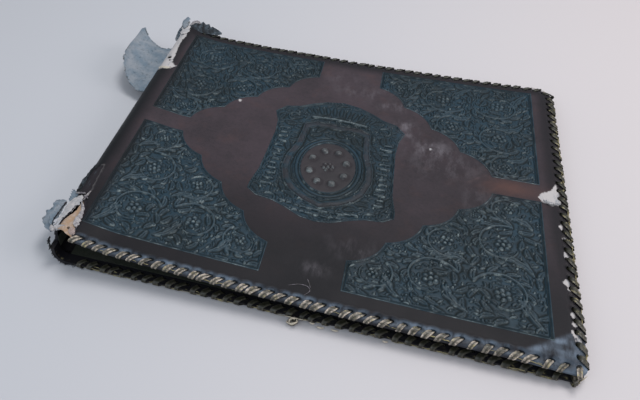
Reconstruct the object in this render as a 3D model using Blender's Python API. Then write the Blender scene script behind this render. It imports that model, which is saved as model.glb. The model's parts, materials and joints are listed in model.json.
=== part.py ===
"""Leather photograph album: two whipstitched covers on a soft rounded back.

Metres, +Z up. X runs from the back of the spine to the fore-edge, Y from tail to head.
The origin is the middle of the rear cover's flat underside, which lies on the table.

Every leather piece is made flat, as a hide is cut, punched and tooled, and is then bent
round the album. Flat places are written (q, y, t): q is X over the cover and arc length
round the back, and t is the depth below the album's outer face.
"""

import math

import bmesh
import bpy
from mathutils import Vector

# Overall form
COVER_LENGTH = 0.320
COVER_WIDTH = 0.268
BACK_HEIGHT = 0.029
BACK_RADIUS = 0.010
SHOULDER_LENGTH = 0.020
SHOULDER_DROP = 0.0007
BULGE_LENGTH = 0.045
BULGE_HEIGHT = 0.0236
FORE_HEIGHT = 0.0138
SLUMP_POWER = 2.3
SLUMP_STATIONS = 4
ARC_FACETS = 4
TAIL_CORNER_RADIUS = 0.005
HEAD_CORNER_RADIUS = 0.013
CORNER_FACETS = 3
GAP = 0.0003
SNAP = 0.00002
FLAT_ANGLE = 0.002

# Sheets, from the outside in
LEATHER = 0.0012
TURN_IN_PLIES = 0.0022
MARGIN_STEP = 0.0012
BOARD = 0.0018
LINING = 0.0005
MARGIN_WIDTH = 0.0078
SLOPE_WIDTH = 0.0016
LINING_INSET = 0.0070

# Lacing
HOLE_INSET = 0.0045
STITCH_PITCH = 0.0078
LACE_START = 0.024
CORNER_CLEARANCE = 0.0105
HOLE_LENGTH = 0.0032
HOLE_WIDTH = 0.0015
THONG_WIDTH = 0.0025
THONG_THICKNESS = 0.0008
THONG_SLANT = 0.55

# Tooled ornament on the front cover
FRAME_INSET_SPINE = 0.0185
FRAME_GAP_FORE = 0.0071
FRAME_GAP_TAIL = 0.0066
FRAME_GAP_HEAD = 0.0011
CROSS_HALF_X = 0.0250
CROSS_HALF_Y = 0.0085
PANEL_SHORT_SIDE = 0.0245
PANEL_TOP_RUN = 0.031
PANEL_SCALLOPS = 4
SCALLOP_DEPTH = 0.0045
PANEL_SINK = 0.0003
MOTIF_RISE = 0.0002
ROUNDEL_RADIUS = 0.0125
ROUNDEL_LEAVES = 5
LEAF_RING_SHARE = 0.62
LEAF_LEAN = math.pi / 3
LEAF_LENGTH = 0.011
LEAF_WIDTH = 0.0046
LEAF_SHAPE = ((0.0, 0.0), (0.35, -0.5), (0.75, -0.25), (1.0, 0.35), (0.40, 0.5))
FLOWER_RADIUS = 0.0034
FLOWER_FACETS = 6
SCROLL_FROM_CORNER = ((0.027, 0.024), (0.073, 0.023), (0.027, 0.067))
CARTOUCHE_HALF = (
    (0.0, 0.066), (0.024, 0.058), (0.041, 0.048), (0.050, 0.040), (0.045, 0.014),
    (0.047, -0.030), (0.050, -0.050), (0.043, -0.057), (0.022, -0.062), (0.0, -0.0695),
)
DISC_DROP = 0.013
DISC_HALF_X = 0.0195
DISC_HALF_Y = 0.0265
DISC_FACETS = 16
RING_WIDTH = 0.003
ROSETTE_BOSSES = 8
ROSETTE_SHARE = 0.62
BOSS_RADIUS = 0.0022
BOSS_FACETS = 6
HEART_RADIUS = 0.0029
BEAD_COUNT = 6
BEAD_RADIUS = 0.0017
BEAD_FACETS = 4
BEAD_COLUMN_X = 0.036
BEAD_SPACING = 0.011

# Torn places
TORN_CORNER_X = 0.019
TORN_CORNER_Y = 0.027
TORN_SHAPE = ((1.0, 0.1), (0.82, 0.35), (0.62, 0.75), (0.5, 1.0), (0.3, 0.62), (0.12, 0.4))
TORN_FOLD_SHARE = 0.3
SKIN_BORDER = 0.003
SKIN_SHAPE = ((1.0, 0.15), (0.8, 0.55), (0.55, 1.02), (0.2, 1.18))
SKINNED_THICKNESS = 0.0006
HEAD_STRIP_WIDTH = 0.013
HEAD_STRIP_RUN = 0.069
HEAD_STRIP_SHAPE = ((0.3, 1.0), (0.6, 0.97), (1.0, 0.87), (0.8, 0.71), (1.05, 0.51), (0.9, 0.28))
FLAP_THICKNESS = 0.0009
FLAP_ROOT_RISE = 0.0012
FLAP_CURVE = ((-0.007, -0.0009), (-0.015, -0.0005), (-0.024, 0.0025), (-0.032, 0.0062), (-0.039, 0.0105))
FLAP_ROOT_EDGES = (0.088, 0.006)
FLAP_EDGES = ((0.084, 0.008), (0.081, 0.012), (0.077, 0.009), (0.066, 0.002), (0.046, 0.010))

# Leaves
LEAVES_SPINE_GAP = 0.022
LEAVES_EDGE_GAP = 0.012

# Worked out from the sizes above
MARGIN_BACK = MARGIN_STEP + TURN_IN_PLIES
FIELD_INSET = MARGIN_WIDTH + SLOPE_WIDTH
BOARD_TOP = LEATHER + GAP
BOARD_INSET = FIELD_INSET + 2 * GAP
LINING_TOP = max(MARGIN_BACK, BOARD_TOP + BOARD) + GAP
LINING_BACK = LINING_TOP + LINING
FOLD_Q = BACK_RADIUS - BACK_RADIUS * math.pi / 2 + GAP / 2
LEAVES_Q = max(LEAVES_SPINE_GAP, BACK_RADIUS + GAP)
FRAME_LEFT = FRAME_INSET_SPINE
FRAME_RIGHT = COVER_LENGTH - FIELD_INSET - FRAME_GAP_FORE
FRAME_TAIL = FIELD_INSET + FRAME_GAP_TAIL
FRAME_HEAD = COVER_WIDTH - FIELD_INSET - FRAME_GAP_HEAD
CENTRE = Vector(((FRAME_LEFT + FRAME_RIGHT) / 2, (FRAME_TAIL + FRAME_HEAD) / 2))


class Profile:
    """The outer face of a cover, seen from the tail, as stations (q, x, z).

    It starts at the fold, where every layer is cut level.
    """

    def __init__(self, stations, inward):
        self.q = [station[0] for station in stations]
        self.points = [Vector((station[1], station[2])) for station in stations]
        normals = []
        for first, second in zip(self.points, self.points[1:]):
            along = (second - first).normalized()
            normals.append(Vector((-along.y, along.x)) * inward)
        self.mitres = [Vector((1 / normals[0].x, 0.0))]
        for before, after in zip(normals, normals[1:]):
            middle = (before + after).normalized()
            self.mitres.append(middle / middle.dot(before))
        self.mitres.append(normals[-1])

    def place(self, q, t):
        """X and Z of the point at depth t under the place q."""
        index = 0
        while index < len(self.q) - 2 and q > self.q[index + 1]:
            index += 1
        share = (q - self.q[index]) / (self.q[index + 1] - self.q[index])
        low = self.points[index] + self.mitres[index] * t
        high = self.points[index + 1] + self.mitres[index + 1] * t
        return low.lerp(high, share)


def back_arc(centre_z, upward):
    """Stations round the back, from the fold to the cover."""
    stations = []
    for step in range(ARC_FACETS):
        angle = math.pi / 2 * (1 - step / ARC_FACETS)
        x = BACK_RADIUS - BACK_RADIUS * math.sin(angle)
        z = centre_z + upward * BACK_RADIUS * math.cos(angle)
        stations.append((BACK_RADIUS - BACK_RADIUS * angle, x, z))
    return stations


def front_profile():
    """The front cover stands high over the back and slumps towards the fore-edge."""
    stations = back_arc(BACK_HEIGHT - BACK_RADIUS, 1)
    stations.append((BACK_RADIUS, BACK_RADIUS, BACK_HEIGHT))
    stations.append((SHOULDER_LENGTH, SHOULDER_LENGTH, BACK_HEIGHT - SHOULDER_DROP))
    stations.append((BULGE_LENGTH, BULGE_LENGTH, BULGE_HEIGHT))
    for step in range(1, SLUMP_STATIONS + 1):
        share = step / SLUMP_STATIONS
        x = BULGE_LENGTH + (COVER_LENGTH - BULGE_LENGTH) * share
        fall = (1 - share) ** SLUMP_POWER
        stations.append((x, x, FORE_HEIGHT + (BULGE_HEIGHT - FORE_HEIGHT) * fall))
    return Profile(stations, -1)


def rear_profile():
    """The rear cover lies flat and turns up round the back."""
    stations = back_arc(BACK_RADIUS, -1)
    stations.append((BACK_RADIUS, BACK_RADIUS, 0.0))
    stations.append((COVER_LENGTH, COVER_LENGTH, 0.0))
    return Profile(stations, 1)


def world(x, y, z):
    """Album measures, from the spine and the tail, to the part's frame."""
    return Vector((x - COVER_LENGTH / 2, y - COVER_WIDTH / 2, z))


def edge_line(inset, start):
    """Points along tail, fore-edge and head at a distance in from the cover's edge."""
    points = [(start, inset)]
    right = COVER_LENGTH - inset
    top = COVER_WIDTH - inset
    corners = ((TAIL_CORNER_RADIUS, inset, -90, 1), (HEAD_CORNER_RADIUS, top, 0, -1))
    for full_radius, level, first_angle, side in corners:
        radius = max(full_radius - inset, GAP)
        centre = Vector((right - radius, level + side * radius))
        for step in range(CORNER_FACETS + 1):
            angle = math.radians(first_angle + 90 * step / CORNER_FACETS)
            points.append((centre.x + radius * math.cos(angle), centre.y + radius * math.sin(angle)))
    points.append((start, top))
    return points


def stitch_places():
    """Place on the edge, direction along it and direction outwards of every lacing hole."""
    clear = max(TAIL_CORNER_RADIUS, CORNER_CLEARANCE)
    right = COVER_LENGTH
    top = COVER_WIDTH
    runs = (
        (Vector((LACE_START, 0.0)), Vector((right - clear, 0.0)), Vector((0, -1))),
        (Vector((right, clear)), Vector((right, top - HEAD_CORNER_RADIUS)), Vector((1, 0))),
        (Vector((right - HEAD_CORNER_RADIUS, top)), Vector((LACE_START, top)), Vector((0, 1))),
    )
    corners = ((TAIL_CORNER_RADIUS, TAIL_CORNER_RADIUS, -1),
               (HEAD_CORNER_RADIUS, top - HEAD_CORNER_RADIUS, 1))
    places = []
    for number, (start, stop, outward) in enumerate(runs):
        steps = round((stop - start).length / STITCH_PITCH)
        along = (stop - start).normalized()
        for step in range(steps + 1):
            places.append((start.lerp(stop, step / steps), along, outward))
        if number < len(corners):
            radius, level, side = corners[number]
            slant = Vector((1, side)).normalized()
            spot = Vector((right - radius, level)) + slant * radius
            places.append((spot, Vector((-slant.y, slant.x)), slant))
    return places


def hole_corners(spot, along, outward):
    """A lacing slit, along the edge."""
    middle = spot - outward * HOLE_INSET
    half_long = along * HOLE_LENGTH / 2
    half_wide = outward * HOLE_WIDTH / 2
    return [middle - half_long - half_wide, middle + half_long - half_wide,
            middle + half_long + half_wide, middle - half_long + half_wide]


def scalloped_panel(side_x, side_y):
    """Outline of one corner panel, from its outer corner round."""
    outer_x = CENTRE.x - FRAME_LEFT
    outer_y = CENTRE.y - FRAME_TAIL
    first = Vector((CROSS_HALF_X, outer_y - PANEL_SHORT_SIDE))
    last = Vector((outer_x - PANEL_TOP_RUN, CROSS_HALF_Y))
    away = Vector((first.y - last.y, last.x - first.x)).normalized()
    points = [Vector((outer_x, outer_y)), Vector((CROSS_HALF_X, outer_y)), first]
    for step in range(PANEL_SCALLOPS):
        start = first.lerp(last, step / PANEL_SCALLOPS)
        stop = first.lerp(last, (step + 1) / PANEL_SCALLOPS)
        points.append((start + stop) / 2 + away * SCALLOP_DEPTH)
        points.append(stop)
    points.append(Vector((outer_x, CROSS_HALF_Y)))
    return [Vector((CENTRE.x + side_x * p.x, CENTRE.y + side_y * p.y)) for p in points]


def cartouche():
    """Outline of the central shield-like frame."""
    right = [Vector(point) for point in CARTOUCHE_HALF]
    left = [Vector((-point.x, point.y)) for point in reversed(right[1:-1])]
    return [CENTRE + point for point in right + left]


def ellipse(centre, half_x, half_y, count, start=0.0):
    """Points of an ellipse."""
    angles = [start + 2 * math.pi * step / count for step in range(count)]
    return [centre + Vector((half_x * math.cos(a), half_y * math.sin(a))) for a in angles]


def leaf(root, angle):
    """A pointed leaf that curls to one side."""
    turn = Vector((math.cos(angle), math.sin(angle)))
    side = Vector((-turn.y, turn.x))
    return [root + turn * a * LEAF_LENGTH + side * b * LEAF_WIDTH for a, b in LEAF_SHAPE]


def scroll_roundel(centre, spin):
    """A flower boss inside a whorl of leaves."""
    motifs = [ellipse(centre, FLOWER_RADIUS, FLOWER_RADIUS, FLOWER_FACETS)]
    for number in range(ROUNDEL_LEAVES):
        angle = spin + 2 * math.pi * number / ROUNDEL_LEAVES
        out = Vector((math.cos(angle), math.sin(angle)))
        motifs.append(leaf(centre + out * ROUNDEL_RADIUS * LEAF_RING_SHARE, angle + LEAF_LEAN))
    return motifs


def panel_motifs(side_x, side_y):
    """The scrollwork of one corner panel."""
    motifs = []
    for number, (from_side, from_end) in enumerate(SCROLL_FROM_CORNER):
        x = CENTRE.x + side_x * (CENTRE.x - FRAME_LEFT - from_side)
        y = CENTRE.y + side_y * (CENTRE.y - FRAME_TAIL - from_end)
        motifs += scroll_roundel(Vector((x, y)), number + side_x + side_y / 2)
    return motifs


def medallion_motifs():
    """Bosses of the generic rosette, and the bead columns beside it."""
    centre = CENTRE - Vector((0, DISC_DROP))
    motifs = [ellipse(centre, HEART_RADIUS, HEART_RADIUS, BOSS_FACETS)]
    for spot in ellipse(centre, DISC_HALF_X * ROSETTE_SHARE, DISC_HALF_Y * ROSETTE_SHARE, ROSETTE_BOSSES):
        motifs.append(ellipse(spot, BOSS_RADIUS, BOSS_RADIUS, BOSS_FACETS))
    beads = []
    for side in (-1, 1):
        for number in range(BEAD_COUNT):
            along = (number - (BEAD_COUNT - 1) / 2) * BEAD_SPACING
            spot = centre + Vector((side * BEAD_COLUMN_X, along))
            beads.append(ellipse(spot, BEAD_RADIUS, BEAD_RADIUS, BEAD_FACETS))
    return motifs, beads


def face_outwards(mesh):
    """Turn every face of a closed body to point out of it."""
    bmesh.ops.recalc_face_normals(mesh, faces=mesh.faces)
    if mesh.calc_volume(signed=True) < 0:
        bmesh.ops.reverse_faces(mesh, faces=mesh.faces)


def add_loop(mesh, points, t):
    """Vertices of a closed or open line at one depth."""
    return [mesh.verts.new((point[0], point[1], t)) for point in points]


def edges_along(mesh, line, closed):
    """The edges of a line of vertices, made where they are missing."""
    pairs = list(zip(line, line[1:]))
    if closed:
        pairs.append((line[-1], line[0]))
    return [mesh.edges.get(pair) or mesh.edges.new(pair) for pair in pairs]


def fill(mesh, lines, holes=()):
    """Fill the area inside a chain of lines, less its holes."""
    outline = []
    for line in lines:
        outline += edges_along(mesh, line, False)
    for hole in holes:
        outline += edges_along(mesh, hole, True)
    bmesh.ops.triangle_fill(mesh, use_beauty=True, edges=outline, normal=(0, 0, 1))


def wall(mesh, upper, lower, closed):
    """A strip of faces between two lines with the same number of points."""
    count = len(upper)
    last = count if closed else count - 1
    for index in range(last):
        after = (index + 1) % count
        mesh.faces.new((upper[index], upper[after], lower[after], lower[index]))


def tooled_field(mesh, border):
    """The outer face of the front cover's field, with its sunk panels and raised motifs."""
    sunk = []
    for side_x in (-1, 1):
        for side_y in (-1, 1):
            sunk.append((scalloped_panel(side_x, side_y), panel_motifs(side_x, side_y), None))
    bosses, beads = medallion_motifs()
    sunk.append((cartouche(), beads, bosses))
    rims = []
    for outline, motifs, bosses in sunk:
        rim = add_loop(mesh, outline, 0.0)
        floor = add_loop(mesh, outline, PANEL_SINK)
        wall(mesh, rim, floor, True)
        rims.append(rim)
        feet = [raised(mesh, motif, PANEL_SINK) for motif in motifs]
        if bosses:
            feet.append(rosette_disc(mesh, bosses))
        fill(mesh, [floor + floor[:1]], feet)
    fill(mesh, [border], rims)


def raised(mesh, outline, floor_t):
    """A raised motif, and the foot it stands on."""
    foot = add_loop(mesh, outline, floor_t)
    crest = add_loop(mesh, outline, -MOTIF_RISE)
    wall(mesh, foot, crest, True)
    mesh.faces.new(crest)
    return foot


def rosette_disc(mesh, bosses):
    """The roundel: a raised ring round a sunk disc that carries the rosette."""
    centre = CENTRE - Vector((0, DISC_DROP))
    outer = ellipse(centre, DISC_HALF_X + RING_WIDTH, DISC_HALF_Y + RING_WIDTH, DISC_FACETS)
    inner = ellipse(centre, DISC_HALF_X, DISC_HALF_Y, DISC_FACETS)
    foot = add_loop(mesh, outer, PANEL_SINK)
    crest = add_loop(mesh, outer, -MOTIF_RISE)
    lip = add_loop(mesh, inner, -MOTIF_RISE)
    disc = add_loop(mesh, inner, PANEL_SINK)
    wall(mesh, foot, crest, True)
    wall(mesh, crest, lip, True)
    wall(mesh, lip, disc, True)
    feet = [raised(mesh, boss, PANEL_SINK) for boss in bosses]
    fill(mesh, [disc + disc[:1]], feet)
    return foot


def flat_leather(tooled):
    """A cover's hide, still flat: thin field, turned-in margin two plies thick, lacing holes."""
    mesh = bmesh.new()
    edge = edge_line(0.0, FOLD_Q)
    margin = edge_line(MARGIN_WIDTH, FOLD_Q)
    field = edge_line(FIELD_INSET, FOLD_Q)
    faces = []
    for depths in ((MARGIN_STEP, MARGIN_STEP, 0.0), (MARGIN_BACK, MARGIN_BACK, LEATHER)):
        faces.append([add_loop(mesh, line, t) for line, t in zip((edge, margin, field), depths)])
    holes = [hole_corners(*place) for place in stitch_places()]
    hole_rims = []
    for (edge_row, margin_row, field_row), t in zip(faces, (MARGIN_STEP, MARGIN_BACK)):
        rims = [add_loop(mesh, hole, t) for hole in holes]
        hole_rims.append(rims)
        band = [edge_row, [edge_row[-1], margin_row[-1]], margin_row, [margin_row[0], edge_row[0]]]
        fill(mesh, band, rims)
        wall(mesh, margin_row, field_row, False)
    for upper, lower in zip(*hole_rims):
        wall(mesh, upper, lower, True)
    outer_field = faces[0][2] + faces[0][2][:1]
    inner_field = faces[1][2] + faces[1][2][:1]
    if tooled:
        tooled_field(mesh, outer_field)
    else:
        fill(mesh, [outer_field])
    fill(mesh, [inner_field])
    outer_end, inner_end = [[row[2][0], row[1][0], row[0][0]] for row in faces]
    wall(mesh, outer_end, inner_end, False)
    outer_end, inner_end = [[row[0][-1], row[1][-1], row[2][-1]] for row in faces]
    wall(mesh, outer_end, inner_end, False)
    mesh.faces.new((faces[0][2][-1], faces[0][2][0], faces[1][2][0], faces[1][2][-1]))
    wall(mesh, faces[0][0], faces[1][0], False)
    face_outwards(mesh)
    return mesh


def prism(outline, low_t, high_t):
    """A plain block over an outline, from one depth to another."""
    mesh = bmesh.new()
    low = add_loop(mesh, outline, low_t)
    high = add_loop(mesh, outline, high_t)
    mesh.faces.new(low)
    mesh.faces.new(high)
    wall(mesh, low, high, True)
    face_outwards(mesh)
    return mesh


def as_object(name, mesh):
    """A mesh object made from a bmesh, linked to the scene."""
    data = bpy.data.meshes.new(name)
    mesh.to_mesh(data)
    mesh.free()
    item = bpy.data.objects.new(name, data)
    bpy.context.scene.collection.objects.link(item)
    return item


def combined(base, tools, operation):
    """One bmesh with each tool cut from or joined to the base."""
    body = as_object("body", base)
    helpers = [as_object("tool", tool) for tool in tools]
    for helper in helpers:
        step = body.modifiers.new("step", "BOOLEAN")
        step.operation = operation
        step.solver = "EXACT"
        step.object = helper
    bpy.context.view_layer.update()
    evaluated = body.evaluated_get(bpy.context.evaluated_depsgraph_get())
    mesh = bmesh.new()
    mesh.from_mesh(evaluated.data)
    for item in [body] + helpers:
        bpy.data.objects.remove(item)
    return mesh


def torn_front(mesh):
    """Tear the tail corner open, and skin the leather round it and along the head of the back."""
    skin_t = LEATHER - SKINNED_THICKNESS
    ply_t = MARGIN_STEP + TURN_IN_PLIES / 2
    reach = 2 * BACK_RADIUS
    out = FOLD_Q - reach
    hole = [(out, -reach), (TORN_CORNER_X, -reach)]
    hole += [(a * TORN_CORNER_X, b * TORN_CORNER_Y) for a, b in TORN_SHAPE]
    hole.append((out, TORN_FOLD_SHARE * TORN_CORNER_Y))
    rim_x = TORN_CORNER_X + SKIN_BORDER
    rim_y = TORN_CORNER_Y + SKIN_BORDER
    rim = [(out, -reach), (rim_x, -reach)]
    rim += [(a * rim_x, b * rim_y) for a, b in SKIN_SHAPE]
    rim.append((out, rim_y))
    strip = [(out, COVER_WIDTH + reach), (out, COVER_WIDTH - HEAD_STRIP_RUN)]
    for share_x, share_y in HEAD_STRIP_SHAPE:
        strip.append((share_x * HEAD_STRIP_WIDTH, COVER_WIDTH - share_y * HEAD_STRIP_RUN))
    strip.append((HEAD_STRIP_WIDTH, COVER_WIDTH + reach))
    tools = [prism(hole, -reach, ply_t), prism(rim, -reach, skin_t), prism(strip, -reach, skin_t)]
    return combined(mesh, tools, "DIFFERENCE")


def bent(mesh, profile):
    """Bend a flat piece round the album."""
    for station in profile.q[1:-1]:
        everything = mesh.verts[:] + mesh.edges[:] + mesh.faces[:]
        cut = bmesh.ops.bisect_plane(mesh, geom=everything, dist=SNAP, plane_co=(station, 0, 0),
                                     plane_no=(1, 0, 0))
        for edge in cut["geom_cut"]:
            if isinstance(edge, bmesh.types.BMEdge):
                edge.seam = True
    bmesh.ops.dissolve_limit(mesh, angle_limit=FLAT_ANGLE, verts=mesh.verts, edges=mesh.edges,
                             delimit={"SEAM"})
    bmesh.ops.triangulate(mesh, faces=mesh.faces)
    for vert in mesh.verts:
        place = profile.place(vert.co.x, vert.co.z)
        vert.co = world(place.x, vert.co.y, place.y)
    face_outwards(mesh)
    return mesh


def plate(inset, start, top_t, thickness):
    """A sheet inside the cover, in from its edges."""
    return prism(edge_line(inset, start), top_t, top_t + thickness)


def thong(profile):
    """One flat thong, whipped through every hole and over the edge."""
    places = stitch_places()
    near = HOLE_INSET
    far = -GAP - THONG_THICKNESS / 2
    over = MARGIN_STEP - GAP - THONG_THICKNESS / 2
    under = MARGIN_BACK + GAP + THONG_THICKNESS / 2
    turns = ((far, over, -THONG_SLANT, 1, -1), (near, over, 0.0, -1, -1),
             (near, under, 0.0, -1, 1), (far, under, 1 - THONG_SLANT, 1, 1))
    mesh = bmesh.new()
    rows = []
    for number, (spot, along, outward) in enumerate(places):
        for index, (inset, t, slip, out_side, t_side) in enumerate(turns):
            if number == 0 and index == 0:
                continue
            if number == len(places) - 1 and index == 3:
                continue
            row = []
            for half, layer in ((-1, -1), (1, -1), (1, 1), (-1, 1)):
                shift = along * (slip * STITCH_PITCH + half * THONG_WIDTH / 2)
                reach = outward * (layer * out_side * THONG_THICKNESS / 2 - inset)
                flat = spot + shift + reach
                depth = t + layer * t_side * THONG_THICKNESS / 2
                place = profile.place(flat.x, depth)
                row.append(mesh.verts.new(world(place.x, flat.y, place.y)))
            rows.append(row)
    for row, after in zip(rows, rows[1:]):
        wall(mesh, row, after, True)
    mesh.faces.new(rows[0])
    mesh.faces.new(rows[-1])
    face_outwards(mesh)
    return mesh


def spine_hide():
    """The back between the two folds, its ends turned in, its head skinned where it peeled."""
    head = COVER_WIDTH
    peel_y = head - FLAP_ROOT_EDGES[0]
    skin_t = LEATHER - SKINNED_THICKNESS
    outline = [(MARGIN_STEP, 0.0), (MARGIN_STEP, MARGIN_WIDTH), (0.0, FIELD_INSET),
               (0.0, peel_y - SKIN_BORDER), (skin_t, peel_y),
               (skin_t, head - FIELD_INSET), (MARGIN_STEP, head - MARGIN_WIDTH), (MARGIN_STEP, head),
               (MARGIN_BACK, head), (MARGIN_BACK, head - MARGIN_WIDTH), (LEATHER, head - FIELD_INSET),
               (LEATHER, FIELD_INSET), (MARGIN_BACK, MARGIN_WIDTH), (MARGIN_BACK, 0.0)]
    mesh = prism(outline, BACK_RADIUS + GAP / 2, BACK_HEIGHT - BACK_RADIUS - GAP / 2)
    mesh = combined(mesh, [peeled_flap()], "UNION")
    for vert in mesh.verts:
        vert.co = world(*vert.co)
    face_outwards(mesh)
    return mesh


def peeled_flap():
    """The grain layer that has peeled off the head of the back and curls away from it."""
    mesh = bmesh.new()
    rows = []
    half = FLAP_THICKNESS / 2
    root = (LEATHER - SKINNED_THICKNESS / 2, 0.0)
    for (x, rise), edges in zip((root,) + FLAP_CURVE, (FLAP_ROOT_EDGES,) + FLAP_EDGES):
        z = BACK_RADIUS + FLAP_ROOT_RISE + rise
        tail_end, head_end = [COVER_WIDTH - edge for edge in edges]
        corners = ((tail_end, z - half), (head_end, z - half), (head_end, z + half), (tail_end, z + half))
        rows.append([mesh.verts.new((x, y, height)) for y, height in corners])
    for row, after in zip(rows, rows[1:]):
        wall(mesh, row, after, True)
    mesh.faces.new(rows[0])
    mesh.faces.new(rows[-1])
    face_outwards(mesh)
    return mesh


def spine_strip():
    """The lining strip inside the back."""
    x = MARGIN_BACK + GAP
    low = BACK_RADIUS + GAP / 2
    high = BACK_HEIGHT - BACK_RADIUS - GAP / 2
    outline = [(x, LINING_INSET), (x + LINING, LINING_INSET),
               (x + LINING, COVER_WIDTH - LINING_INSET), (x, COVER_WIDTH - LINING_INSET)]
    mesh = prism(outline, low, high)
    for vert in mesh.verts:
        vert.co = world(*vert.co)
    return mesh


def leaf_block(front, rear):
    """The bound leaves: thick at the guards by the spine, thin at the fore-edge."""
    fore = COVER_LENGTH - LEAVES_EDGE_GAP
    stops = [q for q in front.q if LEAVES_Q < q < fore]
    top = [front.place(q, LINING_BACK + GAP) for q in [LEAVES_Q] + stops + [fore]]
    floor = rear.place(COVER_LENGTH / 2, LINING_BACK + GAP).y
    outline = [Vector((top[0].x, floor))] + top + [Vector((top[-1].x, floor))]
    mesh = prism(outline, LEAVES_EDGE_GAP, COVER_WIDTH - LEAVES_EDGE_GAP)
    for vert in mesh.verts:
        x, z, y = vert.co
        vert.co = world(x, y, z)
    face_outwards(mesh)
    return mesh


def finish(name, colour, roughness):
    """A plain material of one colour."""
    material = bpy.data.materials.new(name)
    material.use_nodes = True
    shader = material.node_tree.nodes["Principled BSDF"]
    shader.inputs["Base Color"].default_value = (*colour, 1.0)
    shader.inputs["Roughness"].default_value = roughness
    shader.inputs["Metallic"].default_value = 0.0
    material.diffuse_color = (*colour, 1.0)
    return material


def add_piece(name, mesh, material, axis=None):
    """A finished piece; a moving one hangs from the empty on its joint's axis."""
    if axis:
        bmesh.ops.translate(mesh, verts=mesh.verts, vec=-axis.matrix_world.translation)
    item = as_object(name, mesh)
    item.data.materials.append(material)
    if axis:
        item.parent = axis
    return item


def add_axis(name, z, parent):
    """An empty on a fold of the back."""
    axis = bpy.data.objects.new(name, None)
    bpy.context.scene.collection.objects.link(axis)
    axis.location = world(0.0, COVER_WIDTH / 2, z)
    if parent:
        axis.parent = parent
        axis.location -= parent.location
    bpy.context.view_layer.update()
    return axis


def build():
    """Clear the scene and build the album."""
    for item in list(bpy.data.objects):
        bpy.data.objects.remove(item)
    hide = finish("tooled hide", (0.050, 0.055, 0.065), 0.45)
    suede = finish("peeled hide", (0.22, 0.26, 0.30), 0.9)
    lace = finish("lacing thong", (0.22, 0.16, 0.12), 0.5)
    tan = finish("leatherboard", (0.50, 0.34, 0.20), 0.8)
    cloth = finish("lining cloth", (0.03, 0.04, 0.02), 0.85)
    card = finish("album card", (0.045, 0.043, 0.035), 0.9)

    front = front_profile()
    rear = rear_profile()
    spine_axis = add_axis("spine_axis", BACK_RADIUS, None)
    front_axis = add_axis("front_cover_axis", BACK_HEIGHT - BACK_RADIUS, spine_axis)

    board_start = BACK_RADIUS + GAP
    add_piece("rear_leather", bent(flat_leather(False), rear), hide)
    add_piece("rear_board", bent(plate(BOARD_INSET, board_start, BOARD_TOP, BOARD), rear), tan)
    add_piece("rear_lining", bent(plate(LINING_INSET, board_start, LINING_TOP, LINING), rear), cloth)
    add_piece("rear_lacing", thong(rear), lace)
    add_piece("album_leaves", leaf_block(front, rear), card)

    add_piece("spine_leather", spine_hide(), suede, spine_axis)
    add_piece("spine_lining", spine_strip(), cloth, spine_axis)

    leather = bent(torn_front(flat_leather(True)), front)
    board = bent(plate(BOARD_INSET, board_start, BOARD_TOP, BOARD), front)
    lining = bent(plate(LINING_INSET, board_start, LINING_TOP, LINING), front)
    add_piece("front_leather", leather, hide, front_axis)
    add_piece("front_board", board, tan, front_axis)
    add_piece("front_lining", lining, cloth, front_axis)
    add_piece("front_lacing", thong(front), lace, front_axis)


build()
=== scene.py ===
"""Dresses a worn leather photo album: tooled hide, lacing, torn back, linings and leaves.

Lengths are in metres. A flat place on a hide is (u, v): u runs from the back to the fore-edge,
and below RADIUS on round the back to the folds; v runs from the tail edge to the head edge.
Depth t is measured down from a cover's outer face.
"""

import json
import math
from collections import namedtuple

import bmesh
import bpy
import numpy as np
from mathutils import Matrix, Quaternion, Vector


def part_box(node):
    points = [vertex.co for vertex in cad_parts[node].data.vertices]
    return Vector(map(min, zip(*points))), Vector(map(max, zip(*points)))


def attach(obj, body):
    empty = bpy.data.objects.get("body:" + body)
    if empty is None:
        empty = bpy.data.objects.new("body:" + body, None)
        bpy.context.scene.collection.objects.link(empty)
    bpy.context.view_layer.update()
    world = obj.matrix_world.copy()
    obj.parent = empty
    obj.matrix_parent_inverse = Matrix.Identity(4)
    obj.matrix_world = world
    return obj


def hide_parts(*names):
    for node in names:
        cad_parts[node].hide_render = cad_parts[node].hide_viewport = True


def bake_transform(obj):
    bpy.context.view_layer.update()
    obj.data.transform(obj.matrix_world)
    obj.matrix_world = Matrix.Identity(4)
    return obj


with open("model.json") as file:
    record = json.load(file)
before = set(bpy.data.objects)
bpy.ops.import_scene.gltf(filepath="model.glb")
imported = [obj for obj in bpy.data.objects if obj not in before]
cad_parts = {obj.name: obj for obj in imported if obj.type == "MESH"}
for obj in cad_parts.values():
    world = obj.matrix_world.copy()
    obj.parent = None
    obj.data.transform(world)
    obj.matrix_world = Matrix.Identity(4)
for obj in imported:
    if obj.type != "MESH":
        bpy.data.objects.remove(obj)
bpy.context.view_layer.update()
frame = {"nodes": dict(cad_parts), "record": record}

bl_info = {
    "name": "Leather photo album looks",
    "version": (1, 0, 0),
    "blender": (4, 5, 0),
    "location": "View3D > Sidebar > Album",
    "description": "Builds the visible hides, lacing and leaves of a worn photo album",
    "category": "Object",
}

MM = 0.001


def millimetres(outline):
    """Places given in millimetres, in metres."""
    return [(a * MM, b * MM) for a, b in outline]


CORNER_LOW, CORNER_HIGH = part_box("front_leather")
LENGTH = CORNER_HIGH.x - CORNER_LOW.x
WIDTH = CORNER_HIGH.y - CORNER_LOW.y
BACK = CORNER_HIGH.z
RADIUS = 10 * MM
FOLD_U = RADIUS - RADIUS * math.pi / 2
HINGE_HEIGHTS = [joint["pos_m"][2] for joint in frame["record"]["behaviour"]["joints"]]
MIDDLE_OF_BACK = FOLD_U - (HINGE_HEIGHTS[1] - HINGE_HEIGHTS[0]) / 2

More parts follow.
